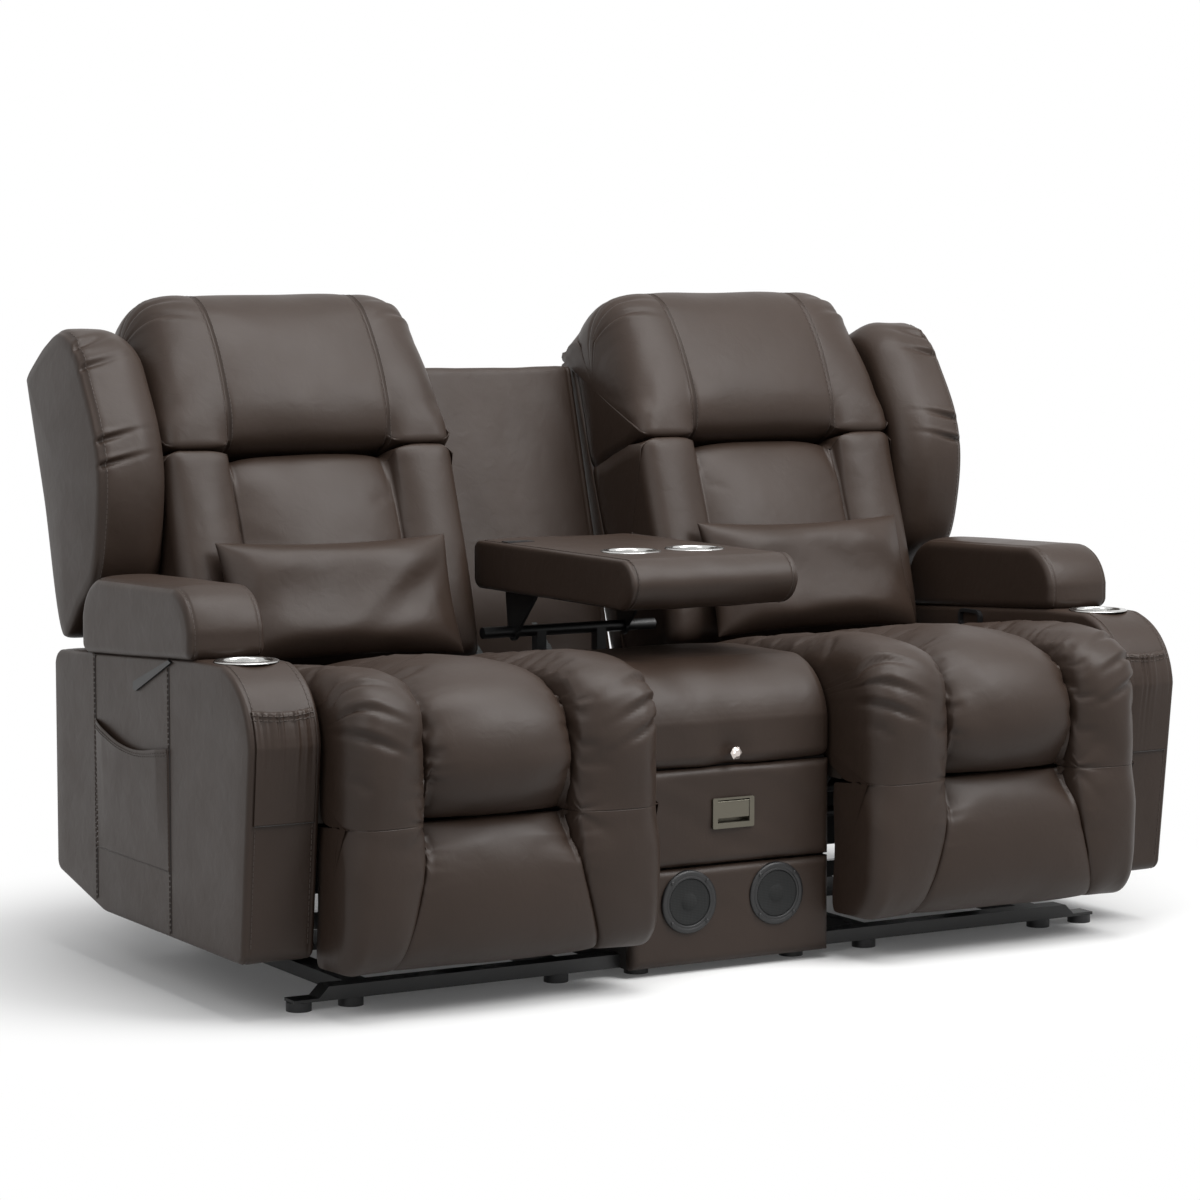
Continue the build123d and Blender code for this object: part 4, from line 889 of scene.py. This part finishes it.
# %% Headrests
def headrest(side, sign, seed):
    def shape(x, mix, line, along):
        ends = from_end(x, back_ends)
        crown = float(along[np.argmax(line[:, 1])])
        high = np.clip((line[:, 1] - 880.0) / 150.0, 0.0, 1.0)
        own = end_round(ends + 3.0, 50.0) + high * end_round(ends + 3.0, 125.0) * 0.55
        joined = mix * ease((470.0 - up_the_back(line)) / 70.0)
        low = np.exp(-((line[:, 1] - 790.0) / 34.0) ** 2)
        move = -(own * (1 - joined) + lumbar_dip(x) * joined)
        for k, seam in enumerate(back_seams):
            gap = abs(x - seam)
            move = move - (3.0 * np.exp(-(gap / 2.6) ** 2) + 4.0 * np.exp(-gap / 26.0)) * (1 - joined)
            move = move + low * gathered(along, gap, seed + 3 * k, 5.0, 8.0)
        for k in range(3):
            pleat = fold(along - ends * 0.3, crown - 36.0 + 46.0 * k, 8.0, 8.0)
            move = move + pleat * np.exp(-(ends / 66.0) ** 2)
        return move + 1.8 * wander(along + 1.3 * x, 150.0, seed + 40), outward(line)

    across, lines, rings, free = channelled(
        (on_back(headroll), on_back(headroll_side)), 240, back_ends, back_seams, 88, shape, 0.7,
    )
    rings = swell_rings("headrest " + side, rings, free, 8.0)
    obj = skin("headrest_cover_" + side, rings, sign, domes=(7.0, 7.0))
    dress(obj, leather, "back_" + side, ["headrest_" + side])
    stitched = lines[len(across) // 2][:, 2] > 0.75
    rows = []
    for seam in back_seams:
        for shift in (-4.6, 4.6):
            near = int(np.argmin(abs(across - seam - shift)))
            rows.append(rings[near][stitched] * (sign, 1, 1) / 1000.0)
    return rows


# %% Wings
def wing(side, sign, seed):
    outline = [
        (344, 522, 0), (430, 755, 0), (498, 938, 0), (501, 949, 0), (494, 960, 0.1), (455, 988, 0.3),
        (408, 1016, 0.6), (352, 1036, 1), (284, 1012, 1), (238, 950, 1), (192, 872, 1), (175, 800, 1),
        (183, 712, 1), (210, 630, 0.8), (272, 580, 0.1),
    ]
    near_back, face = 733.0, 862.0
    across = np.concatenate([
        np.linspace(near_back, 772, 9), np.linspace(777, 850, 16), (852.5, 855, 857.5, 860, face),
    ])
    line = smooth_outline(outline, 380)
    normal, along, soft = outward(line), distance_along(line), line[:, 2]
    ahead = line[:, 0] < 330
    rings, free = [], []
    for x in across:
        side_gap = face - x
        inner = end_round(x - near_back + 2.0, 62.0)
        outer = end_round(side_gap + 5.0, 26.0)
        move = -(inner * 0.85 + outer) - 1.8 * np.exp(-((side_gap - 7.0) / 2.6) ** 2)
        reach = np.exp(-(side_gap / 56.0) ** 2) * min((side_gap + 1.0) / 9.0, 1.0)
        for height, depth in ((1018.0, 7.0), (984.0, 7.0), (866.0, 9.0), (826.0, 9.0)):
            move = move + fold(line[:, 1] - 0.22 * side_gap, height - 8.0, 4.6, depth) * reach * ahead
        move = move + 1.6 * wander(along + 2.0 * x, 120.0, seed)
        move = move * soft - 5.0 * (1 - soft) * np.exp(-side_gap / 6.0)
        yz = line[:, :2] + normal * move[:, None]
        rings.append(np.column_stack([np.full(len(yz), x), yz]))
        free.append((soft > 0.7) & (near_back + 12 < x < face - 12))
    rings = swell_rings("wing " + side, rings, np.array(free), 6.0)
    obj = skin("wing_cover_" + side, rings, sign, domes=(0.0, 6.0), cap_steps=14)
    dress(obj, leather, "back_" + side, ["wing_" + side])
    near = int(np.argmin(abs(across - face + 12.0)))
    return [rings[near][ahead & (soft > 0.6)] * (sign, 1, 1) / 1000.0]


# %% Back covers behind the frame
def back_cover(side, sign, seed):
    flat = [(32, -22, 1), (606, -22, 1), (606, 27, 1), (32, 27, 1)]
    corners = [(p[0], p[1], 9.0) for p in on_back(flat)]
    line = rounded_outline(corners, 220)
    normal, along = outward(line), distance_along(line)
    rear = np.exp(-((along - along[-1] * 0.25) / 150.0) ** 2)
    rings = []
    span = (188.0, 732.0)
    for x in np.linspace(*span, 70):
        ends = from_end(x, span)
        move = -end_round(ends + 1.5, 9.0) + 0.8 * wander(along + 2.0 * x, 130.0, seed) * (ends > 12) * rear
        yz = line[:, :2] + normal * move[:, None]
        rings.append(np.column_stack([np.full(len(yz), x), yz]))
    obj = skin("back_cover_" + side, rings, sign, domes=(0.0, 0.0))
    dress(obj, leather, "back_" + side, ["back_shell_" + side])


seam_rows = {}
seam_cords = {}
for side, sign in sides:
    shift = 0 if sign > 0 else 1000
    lumbar_pad(side, sign, 1500 + shift)
    rows = headrest(side, sign, 1600 + shift)
    rows += wing(side, sign, 1700 + shift)
    back_cover(side, sign, 1800 + shift)
    seam_rows["back_" + side] = rows
print("backs ready")

# %% [markdown]
# ## Lumbar pillows
# A pillow is two panels sewn round the edge and filled, so its corners stay pointed while its sides pull
# in. It starts as a thin flat case and is blown up by the cloth solver; the seam all round stays where it
# is.

# %% Pillows
def pillow(side, sign, seed):
    middle_x, width, low, high = 466.0, 440.0, 2.0, 226.0
    seam_depth, deep, flat_back, most_fill = 239.0, 104.0, 30.0, 16.0
    front_share = 0.58
    columns, rows = 72, 40
    s, t = np.meshgrid(np.linspace(-1, 1, columns), np.linspace(-1, 1, rows), indexing="ij")
    x = middle_x + s * (1 - 0.045 * (1 - t * t)) * width / 2
    u = (low + high) / 2 + t * (1 - 0.09 * (1 - s * s)) * (high - low) / 2
    plump = ((1 - s ** 4) * (1 - t ** 4)) ** 0.7
    wave = 1.0 + 0.05 * wander(s * 300 + t * 190, 90.0, seed)
    inside = np.s_[1:-1, 1:-1]
    points = []
    # the two panels share the points of the seam
    for part, v in (
        (np.s_[:, :], seam_depth + deep * front_share * plump * wave),
        (inside, seam_depth - flat_back * plump ** 0.8),
    ):
        spots = on_back(np.column_stack([u[part].ravel(), v[part].ravel(), np.zeros(u[part].size)]))
        points.append(np.column_stack([x[part].ravel() * sign, spots[:, :2]]))
    front = np.arange(columns * rows).reshape(columns, rows)
    back = front.copy()
    back[inside] = front.size + np.arange(back[inside].size).reshape(back[inside].shape)
    faces = quads(front) + [quad[::-1] for quad in quads(back)]
    obj = mesh_object("pillow_cover_" + side, np.vstack(points), faces)
    held = np.zeros(len(obj.data.vertices), bool)
    held[back] = True
    move = cloth_move(obj, held, 9.0, 18, 0.0)
    most = float(np.linalg.norm(move, axis=1).max())
    move = move * min(1.0, most_fill / most)
    obj.data.vertices.foreach_set("co", (positions(obj) + move / 1000.0).ravel())
    print("pillow", side, "filled by", round(most, 1), "mm, kept to", most_fill)
    even = obj.modifiers.new("even", "SMOOTH")
    even.iterations = 14
    level = obj.modifiers.new("fine", "SUBSURF")
    level.levels = level.render_levels = 1
    bake(obj)
    dress(obj, leather, "back_" + side, ["pillow_" + side])


for side, sign in sides:
    pillow(side, sign, 2100 if sign > 0 else 2200)
print("pillows ready")

# %% [markdown]
# ## Arms, pads and pockets
# The arms are boxed covers over timber: a raked front with a rounded nose, a falling top, seams along the
# edges. A thick pad sits on the top behind the cup holder. Pockets are panels sewn on three sides with a
# gathered hem.

# %% Arms
arm_out = 878.0
arm_mid = (arm_side + arm_out) / 2
cup_y, cup_radius, cup_clear = -289.0, 38.0, 1.6
arm_outline = [
    (-394, 91, 16), (-441, 540, 105), (-228, 540, 40), (349, 504, 22), (349, 135, 16), (150, 91, 40),
]


def boxed(name, outline, span, count, steps, sign=1, radius=9.0, crown=0.0, wave=1.0, seed=1, groove=1.2):
    # a boxed cover: an outline carried across a span with rounded edges, a seam groove beside each edge
    # and a slight crown
    line = rounded_outline(outline, count)
    normal, along = outward(line), distance_along(line)
    low, high = span
    seam_at, seam_wide = 10.5, 1.6
    edge = np.array([0.0, 0.6, 1.6, 3.2, 5.4, 8.0, seam_at, 13.0])
    across = np.concatenate([low + edge, np.linspace(low + 16.0, high - 16.0, steps), (high - edge)[::-1]])
    rings = []
    for x in across:
        ends = from_end(x, span)
        bulge = crown * (1 - abs(2 * (x - low) / (high - low) - 1) ** 2.5)
        seam = groove * np.exp(-((ends - seam_at) / seam_wide) ** 2)
        ripple = wave * wander(along + 2.0 * x, 110.0, seed) * min(ends / 30.0, 1.0)
        move = -end_round(ends, radius) + bulge - seam + ripple
        yz = line[:, :2] + normal * move[:, None]
        rings.append(np.column_stack([np.full(len(yz), x), yz]))
    return skin(name, rings, sign, domes=(0.0, 0.0), cap_steps=10), line, len(across)


def beside_seams(obj, rings, step, shown):
    # the points beside the two long seams of a boxed cover, step rings in from each end
    points, start, size = positions(obj), obj["first_ring"], obj["ring_size"]
    return [points[(start + k) * size + np.nonzero(shown)[0]] for k in (step, rings - 1 - step)]


def arm(side, sign, seed):
    obj, line, rings = boxed(
        "arm_cover_" + side, arm_outline, (arm_side + 0.2, arm_out), 300, 16, sign, wave=0.8, seed=seed,
    )
    rows = beside_seams(obj, rings, 7, (line[:, 0] < -300) & (line[:, 1] > 120))
    cut(obj, drum_cutter(sign * arm_mid, cup_y, 472.0, 560.0, cup_radius + cup_clear))
    dress(obj, leather, "rocker_" + side, ["arm_" + side])
    return rows


# %% Arm pads
pad_outline = [(-229, 540.3, 14), (-229, 646, 62), (206, 634, 64), (206, 513.3, 14)]
pad_span = (arm_side, 887.0)


def arm_pad(side, sign, seed):
    obj, line, rings = boxed(
        "arm_pad_cover_" + side, pad_outline, pad_span, 210, 20, sign,
        radius=12.0, crown=6.0, wave=1.2, seed=seed, groove=2.0,
    )
    rows = beside_seams(obj, rings, 6, (line[:, 1] > 548) & (line[:, 0] < 190))
    dress(obj, leather, "rocker_" + side, ["arm_pad_" + side])
    return rows


# %% Pockets
def sheet_mesh(columns, rows, place):
    # an open grid of points place(s, t), s and t from 0 to 1
    points = [place(s, t) for s in np.linspace(0, 1, columns) for t in np.linspace(0, 1, rows)]
    return points, quads(np.arange(columns * rows).reshape(columns, rows))


arm_nose = rounded_outline(arm_outline, 900)
arm_nose = arm_nose[arm_nose[:, 0] < -300]
arm_nose = arm_nose[np.argsort(arm_nose[:, 1])]
front_x, front_wide, front_low, front_high = 768.0, 99.5, 306.0, 174.0
flank_y, flank_wide, flank_low, flank_high = -130.0, 297.0, 196.0, 203.0
side_seams = ((-131.0, 100.0, 532.0), (168.0, 112.0, 512.0))


def pockets(side, sign, seed):
    def front(s, t):
        x = front_x + s * front_wide
        z = front_low + t * front_high - 3.0 * t * sin(pi * s)
        edge, under = min(s, 1 - s) * front_wide, (1 - t) * front_high
        lift = 0.9 + 8.0 * float(ease(edge / 42.0)) * (0.1 + 0.9 * t ** 2)
        gather = 3.0 * wander([x + seed * 13.0], 5.0, seed)[0] * np.exp(-under / 40.0) * min(edge / 8.0, 1.0)
        hem = 2.2 * np.exp(-((under - 5.0) / 4.0) ** 2) * min(edge / 9.0, 1.0)
        y = float(np.interp(z, arm_nose[:, 1], arm_nose[:, 0])) - 1.2 - lift - gather - hem
        return (x * sign, y, z)

    def flank(s, t):
        y = flank_y + s * flank_wide
        drop = 22.0 * sin(pi * s) ** 1.3
        z = flank_low + t * flank_high - drop * t ** 2 + 16.0 * (s - 0.5) * t
        edge, under = min(s, 1 - s) * flank_wide, (1 - t) * flank_high
        lift = 0.9 + 7.4 * min(edge / 40.0, 1.0) ** 0.7 * t
        ripple = 1.5 * wander([y + z * 0.3], 46.0, seed + 5)[0] * t * min(edge / 30.0, 1.0)
        hem = 0.9 * np.exp(-((under - 6.0) / 4.0) ** 2)
        return ((arm_out + lift + ripple * 0.6 + hem) * sign, y, z)

    front_points, front_faces = sheet_mesh(90, 60, front)
    flank_points, flank_faces = sheet_mesh(70, 50, flank)
    shift = len(front_points)
    faces = front_faces + [[i + shift for i in face] for face in flank_faces]
    obj = mesh_object("pocket_cover_" + side, front_points + flank_points, faces)
    wall = obj.modifiers.new("wall", "SOLIDIFY")
    wall.thickness = 0.0016
    wall.offset = 0.0
    bake(obj)
    dress(obj, leather, "rocker_" + side, ["arm_pockets_" + side])

    def row(points, lift):
        return (np.array(points) + lift) / 1000.0

    out_front, out_side = (0.0, -1.4, 0.0), (sign * 1.2, 0.0, 0.0)
    short, long = np.linspace(0.02, 0.98, 60), np.linspace(0.02, 0.98, 80)
    rows = [row([front(a, t) for a in short], out_front) for t in (0.925, 0.965)]
    rows += [row([flank(a, t) for a in long], out_side) for t in (0.94, 0.965)]
    rows += [row([flank(a, t) for t in short], out_side) for a in (0.012, 0.988)]
    cords = []
    for y, low, high in side_seams:
        cords.append(row([(sign * (arm_out + 0.3), y, z) for z in np.linspace(low, high, 40)], 0.0))
        rows.append(cords[-1] + np.array([sign * 0.0006, 0.005, 0.0]))
    cords.append(row([front(a, 0.0) for a in np.linspace(0.0, 1.0, 40)], (0.0, -0.6, 0.0)))
    seam_cords["rocker_" + side] = cords
    return rows


for side, sign in sides:
    seed = 3100 if sign > 0 else 3400
    rows = arm(side, sign, seed) + arm_pad(side, sign, seed + 20) + pockets(side, sign, seed + 40)
    seam_rows["rocker_" + side] = rows
print("arms ready")

# %% [markdown]
# ## Console
# The console front is three padded panels: the rounded lid with its crystal knob, the drawer with a
# recessed pull and the speaker board. The lid is hollow over the bin, so its inside is cut out after the
# cover is made.

# %% Console panels
front_y = -385.0


def panel(name, z_low, z_high, seed, dimples):
    # a padded board: a flat back, a crowned face, soft edges, and hollows where something is screwed through
    half_z, middle_z = (z_high - z_low) / 2, (z_high + z_low) / 2

    def face_point(s, t):
        x, z = (2 * s - 1) * console_side, middle_z + (2 * t - 1) * half_z
        edge = min(console_side - abs(x), half_z - abs(z - middle_z))
        lift = 7.0 - end_round(edge + 0.8, 15.0) * 0.9
        for spot_x, spot_z, wide, deep in dimples:
            lift -= deep * np.exp(-(np.hypot(x - spot_x, z - spot_z) / wide) ** 2)
        lift += 0.9 * wander([x * 1.1 + z * 2.3], 70.0, seed)[0] * min(edge / 20.0, 1.0)
        return (x, front_y - lift + 6.0, z)

    columns, rows = 96, 48
    points, faces = sheet_mesh(columns, rows, face_point)
    ids = np.arange(columns * rows).reshape(columns, rows)
    rim = np.concatenate([ids[:, 0], ids[-1, 1:], ids[-2::-1, -1], ids[0, -2:0:-1]]).tolist()
    behind = list(range(len(points), len(points) + len(rim)))
    points += [(points[k][0], front_y + 20.0, points[k][2]) for k in rim]
    for k in range(len(rim)):
        m = (k + 1) % len(rim)
        faces.append((rim[k], rim[m], behind[m], behind[k]))
    return mesh_object(name, points, faces + [behind])


drawer_dimples = [(0, 258, 60, 3.0), (0, 206, 26, 2.2), (-58, 226, 20, 1.6)]
drawer_cover = panel("drawer_cover", 175.4, 333.6, 4100, drawer_dimples)
cut(drawer_cover, box_cutter((-35.3, -400, 237.3), (35.3, -367.5, 278.7)))
dress(drawer_cover, leather, "drawer", ["drawer_front"])
speaker_cover = panel("speaker_cover", 14.2, 171.6, 4200, [(-84, 118, 58, 2.2), (84, 118, 58, 2.2)])
dress(speaker_cover, leather, "base", ["speaker_panel"])

# %% Lid
lid_outline = [(-386, 338.4, 15), (-386, 500, 92), (-86, 500, 16), (-86, 338.4, 15)]
lid_cover = boxed(
    "lid_cover", lid_outline, (-console_side, console_side), 230, 50,
    radius=14.0, crown=3.0, wave=1.6, seed=4300,
)[0]
# the knob's screw draws a hollow into the front
lid_points = positions(lid_cover)
hollow = np.exp(-((lid_points[:, 0] / 0.03) ** 2 + ((lid_points[:, 2] - 0.356) / 0.026) ** 2))
lid_points[:, 1] += 0.007 * hollow * (lid_points[:, 1] < -0.36)
lid_cover.data.vertices.foreach_set("co", lid_points.ravel())
cut(lid_cover, box_cutter((-175, -370, 330), (175, -101, 427)))
dress(lid_cover, leather, "lid", ["console_lid"])

# %% Table
table_outline = [(-336, 587, 40), (-336, 669, 36), (205, 669, 14), (205, 587, 16)]
table_cover, table_line, table_rings = boxed(
    "table_cover", table_outline, (-160.0, 160.0), 260, 44, radius=7.0, crown=1.5, seed=4400, groove=2.2,
)
seam_rows["table"] = beside_seams(table_cover, table_rings, 7, table_line[:, 0] < 190)
table_cups = ((-62.0, -165.0), (62.0, -165.0))
for x, y in table_cups:
    cut(table_cover, drum_cutter(x, y, 601.0, 690.0, cup_radius + cup_clear))
cut(table_cover, box_cutter((-143.8, 108.2, 655), (-92.2, 131.8, 690)))
dress(table_cover, leather, "table", ["table_pad"])

# %% Centre back panel
centre_low, centre_high, centre_top_y, centre_thick = 250.0, 958.0, 462.0, 22.6
centre_foot_y = centre_top_y - (centre_high - centre_low) * tan(radians(16.0))
centre_outline = [
    (centre_foot_y, centre_low, 4), (centre_top_y - 0.3, centre_high, 8),
    (centre_top_y + centre_thick, centre_high, 8), (centre_foot_y + centre_thick + 0.3, centre_low, 4),
]
centre_cover = boxed(
    "centre_cover", centre_outline, (-183.0, 183.0), 260, 50, radius=6.0, wave=2.0, seed=4500,
)[0]
dress(centre_cover, leather, "base", ["centre_panel"])
print("console ready")

# %% [markdown]
# ## Hardware
# Cup holders are spun steel: a profile turned round the axis of the cup. The speakers are a moulded ring
# with a stepped edge, a cloth-covered cone behind it and four screws. These are turned shapes too.

# %% Turned pieces
def turned(profile, steps=72):
    # points and faces of a profile of (radius, height) turned round an axis
    points, faces = [], []
    for k in range(steps):
        angle = 2 * pi * k / steps
        for radius, height in profile:
            points.append((radius * cos(angle), radius * sin(angle), height))
    size = len(profile)
    for k in range(steps):
        m = (k + 1) % steps
        for j in range(size - 1):
            faces.append((k * size + j, m * size + j, m * size + j + 1, k * size + j + 1))
    return np.array(points), faces


def merge(obj):
    # join the points that the turning left on top of each other
    work = bmesh.new()
    work.from_mesh(obj.data)
    bmesh.ops.remove_doubles(work, verts=work.verts, dist=1e-5)
    bmesh.ops.recalc_face_normals(work, faces=work.faces)
    work.to_mesh(obj.data)
    work.free()


def turned_set(name, profile, spots, toward_front=False):
    # one object with a turned piece at each spot
    all_points, all_faces = [], []
    for spot in spots:
        points, faces = turned(profile)
        if toward_front:
            points = np.column_stack([points[:, 0], -points[:, 2], points[:, 1]])
        base = sum(len(p) for p in all_points)
        all_points.append(points + np.array(spot))
        all_faces += [tuple(i + base for i in f) for f in faces]
    obj = mesh_object(name, np.vstack(all_points), all_faces)
    merge(obj)
    return obj


cup_profile = [
    (0, -66), (34, -66), (37, -64.5), (38, -61), (38, -1), (38.6, 1.6), (40.2, 2.9), (42, 3.0),
    (48.5, 2.4), (50.6, 1.2), (51, 0.3), (50.4, 0.05), (40.0, 0.05), (39.2, -1.2), (39.2, -66.2),
    (37, -67.1), (0, -67.1),
]
for side, sign in sides:
    cup = turned_set("cup_" + side, cup_profile, [(sign * arm_mid, cup_y, 540.2)])
    dress(cup, stainless, "rocker_" + side, ["cup_holder_" + side])
cups = turned_set("cups_table", cup_profile, [(x, y, 669.8) for x, y in table_cups])
dress(cups, stainless, "table", ["table_cups"])

# %% Speakers
speaker_spots = [(-84.0, front_y + 0.4, 118.0), (84.0, front_y + 0.4, 118.0)]
ring_profile = [
    (38.4, -1), (38.4, 4.4), (39.4, 5.4), (41.5, 5.6), (42.4, 4.9), (43.4, 4.9), (44.2, 5.8), (49.0, 5.2),
    (51.0, 4.0), (51.6, 2.2), (51.6, -4), (38.4, -4),
]
rings = turned_set("speaker_rings", ring_profile, speaker_spots, toward_front=True)
dress(rings, black_plastic, "base", ["speaker_bezels"])
cone_profile = [
    (0, 3.2), (13, 3.1), (14, 2.4), (15.5, 2.2), (30, 3.0), (36, 3.6), (38.3, 3.4), (38.3, -38), (0, -42),
]
cones = turned_set("speaker_cones", cone_profile, speaker_spots, toward_front=True)
dress(cones, grille_cloth, "base", ["speaker_drivers"])

# %% [markdown]
# ## Stitches, welts and screws
# Things that repeat along a path are laid by geometry nodes: the stitch tree takes a path, steps along it
# at the stitch length, sets one thread loop at each step and turns it along the path.

# %% Geometry nodes helpers
def path_tree(name, sizes):
    # a tree that takes a path and named sizes in metres, its inputs, and the values for its modifier
    tree = bpy.data.node_groups.new(name, "GeometryNodeTree")
    tree.interface.new_socket("Path", in_out="INPUT", socket_type="NodeSocketGeometry")
    values = {}
    for label, value in sizes.items():
        socket = tree.interface.new_socket(label, in_out="INPUT", socket_type="NodeSocketFloat")
        values[socket.identifier] = value
    tree.interface.new_socket("Result", in_out="OUTPUT", socket_type="NodeSocketGeometry")
    return tree, add(tree, "NodeGroupInput").outputs, values


def end_tree(tree, last, material):
    # what the last node gives, as plain geometry with its material
    solid = add(tree, "GeometryNodeRealizeInstances", {"Geometry": last.outputs[0]})
    paint = add(tree, "GeometryNodeSetMaterial", {"Geometry": solid.outputs[0], "Material": material})
    add(tree, "NodeGroupOutput", {"Result": paint.outputs[0]})


def laid_rows(name, rows, tree, values):
    # run the tree along open rows of points in metres and keep the result as a plain mesh
    edges, base = [], 0
    for row in rows:
        edges += [(base + k, base + k + 1) for k in range(len(row) - 1)]
        base += len(row)
    mesh = bpy.data.meshes.new(name)
    mesh.from_pydata(np.vstack(rows).tolist(), edges, [])
    obj = bpy.data.objects.new(name, mesh)
    scene.collection.objects.link(obj)
    layer = obj.modifiers.new("rows", "NODES")
    layer.node_group = tree
    for key, value in values.items():
        layer[key] = value
    bake(obj)
    return obj


# %% Stitches
tree, given, values = path_tree("stitch rows", {"Pitch": 0.0085, "Length": 0.0062, "Radius": 0.0008})
curve = add(tree, "GeometryNodeMeshToCurve", {"Mesh": given["Path"]})
even = add(tree, "GeometryNodeResampleCurve", {
    "Curve": curve.outputs[0], "Length": given["Pitch"],
}, mode="LENGTH")
tangent = add(tree, "GeometryNodeInputTangent")
turn = add(tree, "FunctionNodeAlignRotationToVector", {"Vector": tangent.outputs[0]}, axis="Z")
loop = add(tree, "GeometryNodeMeshCylinder", {
    "Vertices": 6, "Radius": given["Radius"], "Depth": given["Length"],
})
laid = add(tree, "GeometryNodeInstanceOnPoints", {
    "Points": even.outputs[0], "Instance": loop.outputs[0], "Rotation": turn.outputs[0],
})
end_tree(tree, laid, thread)
for body, rows in seam_rows.items():
    stitches = laid_rows("stitches_" + body, rows, tree, values)
    dress(stitches, thread, body)
    print("stitches on", body, len(stitches.data.polygons))

# %% Welts along the panel seams
tree, given, values = path_tree("seam welts", {"Radius": 0.0009})
curve = add(tree, "GeometryNodeMeshToCurve", {"Mesh": given["Path"]})
ring = add(tree, "GeometryNodeCurvePrimitiveCircle", {"Resolution": 6, "Radius": given["Radius"]})
tube = add(tree, "GeometryNodeCurveToMesh", {
    "Curve": curve.outputs[0], "Profile Curve": ring.outputs[0], "Fill Caps": True,
})
end_tree(tree, tube, dark_thread)
for body, cords in seam_cords.items():
    welts = laid_rows("welts_" + body, cords, tree, values)
    dress(welts, dark_thread, body)

# %% Speaker screws
tree, given, values = path_tree("screw heads", {"Radius": 0.0034})
head = add(tree, "GeometryNodeMeshUVSphere", {"Segments": 14, "Rings": 8, "Radius": given["Radius"]})
low_head = add(tree, "GeometryNodeTransform", {"Geometry": head.outputs[0], "Scale": (1.0, 0.45, 1.0)})
spots = add(tree, "GeometryNodeMeshToPoints", {"Mesh": given["Path"]})
laid = add(tree, "GeometryNodeInstanceOnPoints", {
    "Points": spots.outputs[0], "Instance": low_head.outputs[0],
})
end_tree(tree, laid, black_plastic)
screw_circle, screw_out = 46.6, 6.2
screw_rows = []
for x, y, z in speaker_spots:
    for angle in np.radians((45, 135, 225, 315)):
        place = (x + screw_circle * cos(angle), y - screw_out, z + screw_circle * sin(angle))
        screw_rows.append(np.array([place]) / 1000.0)
screws = laid_rows("speaker_screw_heads", screw_rows, tree, values)
dress(screws, black_plastic, "base", ["speaker_screws"])

# %% [markdown]
# ## Solids that stay
# Rails, plates, links, drawer box, bars, pull and knob keep the shape of the solid model and get their
# finish.

# %% Finish the solids
finishes = {
    "base_frames": powder_coat, "floor_glides": black_plastic, "console_case": painted_shade_board,
    "drawer_runners": zinc, "drawer_box": timber, "handle_frame": bronze_grey, "handle_flap": bronze_grey,
    "lid_knob": crystal, "table_bars": powder_coat, "rear_cloth": dust_cloth, "usb_panel": black_plastic,
    "table_arms": powder_coat, "side_strap": black_plastic,
}
seat_finishes = {
    "seat_frame": shade_dark_timber, "mechanism": powder_coat, "link_a": powder_coat, "link_b": powder_coat,
    "footrest_tray": powder_coat, "release_pull": black_plastic, "back_frame": powder_coat,
}
for side, sign in sides:
    finishes.update({name + "_" + side: material for name, material in seat_finishes.items()})
for name, material in finishes.items():
    solid = nodes[name]
    if not solid.material_slots:
        solid.data.materials.append(material)
    for place in solid.material_slots:
        place.material = material
print("finished solids", len(finishes))

# %% [markdown]
# A black dust cloth, painted shade, hangs from each seat frame's rear bar and closes the space under the
# seat.
# Two strips run from that bar to the bottom of the back, one each side of the inner plate.

# %% Dust cloths
# the cloth is near black: painted shade that closes the view through the gaps under and behind the seats
painted_shade_cloth = make_weave("black dust cloth", "#0b0b0b", "#1a1a1a", 1.6)
fall, cloth_inset = 236.0, 4.0
seat_edge, back_edge = np.array((231.0, 373.0)), np.array((314.5, 425.8))
plate_clear, pin_clear, bridge_sag = 2.0, 11.0, 5.0
for side, sign in sides:
    low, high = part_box("seat_frame_" + side)
    left, right = low[0] * 1000 + cloth_inset, high[0] * 1000 - cloth_inset
    top, rear = low[2] * 1000 + 6.0, high[1] * 1000 + 1.2

    def hang(s, t):
        x = left + s * (right - left)
        wave = 3.0 * wander([x], 90.0, 5000 + sign)[0] * t
        return (x, rear + abs(wave), top - t * fall)

    cloth = mesh_object("dust_cloth_" + side, *sheet_mesh(60, 24, hang))
    dress(cloth, painted_shade_cloth, "rocker_" + side)

    # the strips are the same black cloth: painted shade in the gap between seat and back
    plates = sorted(abs(corner[0]) * 1000 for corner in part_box("mechanism_" + side))
    for name, first, last in (
        ("back_gap_strip_", min(abs(left), abs(right)), plates[0] - plate_clear),
        ("back_gap_cloth_", plates[0] + pin_clear, plates[1] - pin_clear),
    ):
        def bridge(s, t):
            y, z = seat_edge + (back_edge - seat_edge) * t
            return (sign * (first + s * (last - first)), y, z - bridge_sag * sin(pi * t))

        cloth = mesh_object(name + side, *sheet_mesh(40, 16, bridge))
        cloth.data.materials.append(painted_shade_cloth)
        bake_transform(cloth)
print("dust cloths ready")
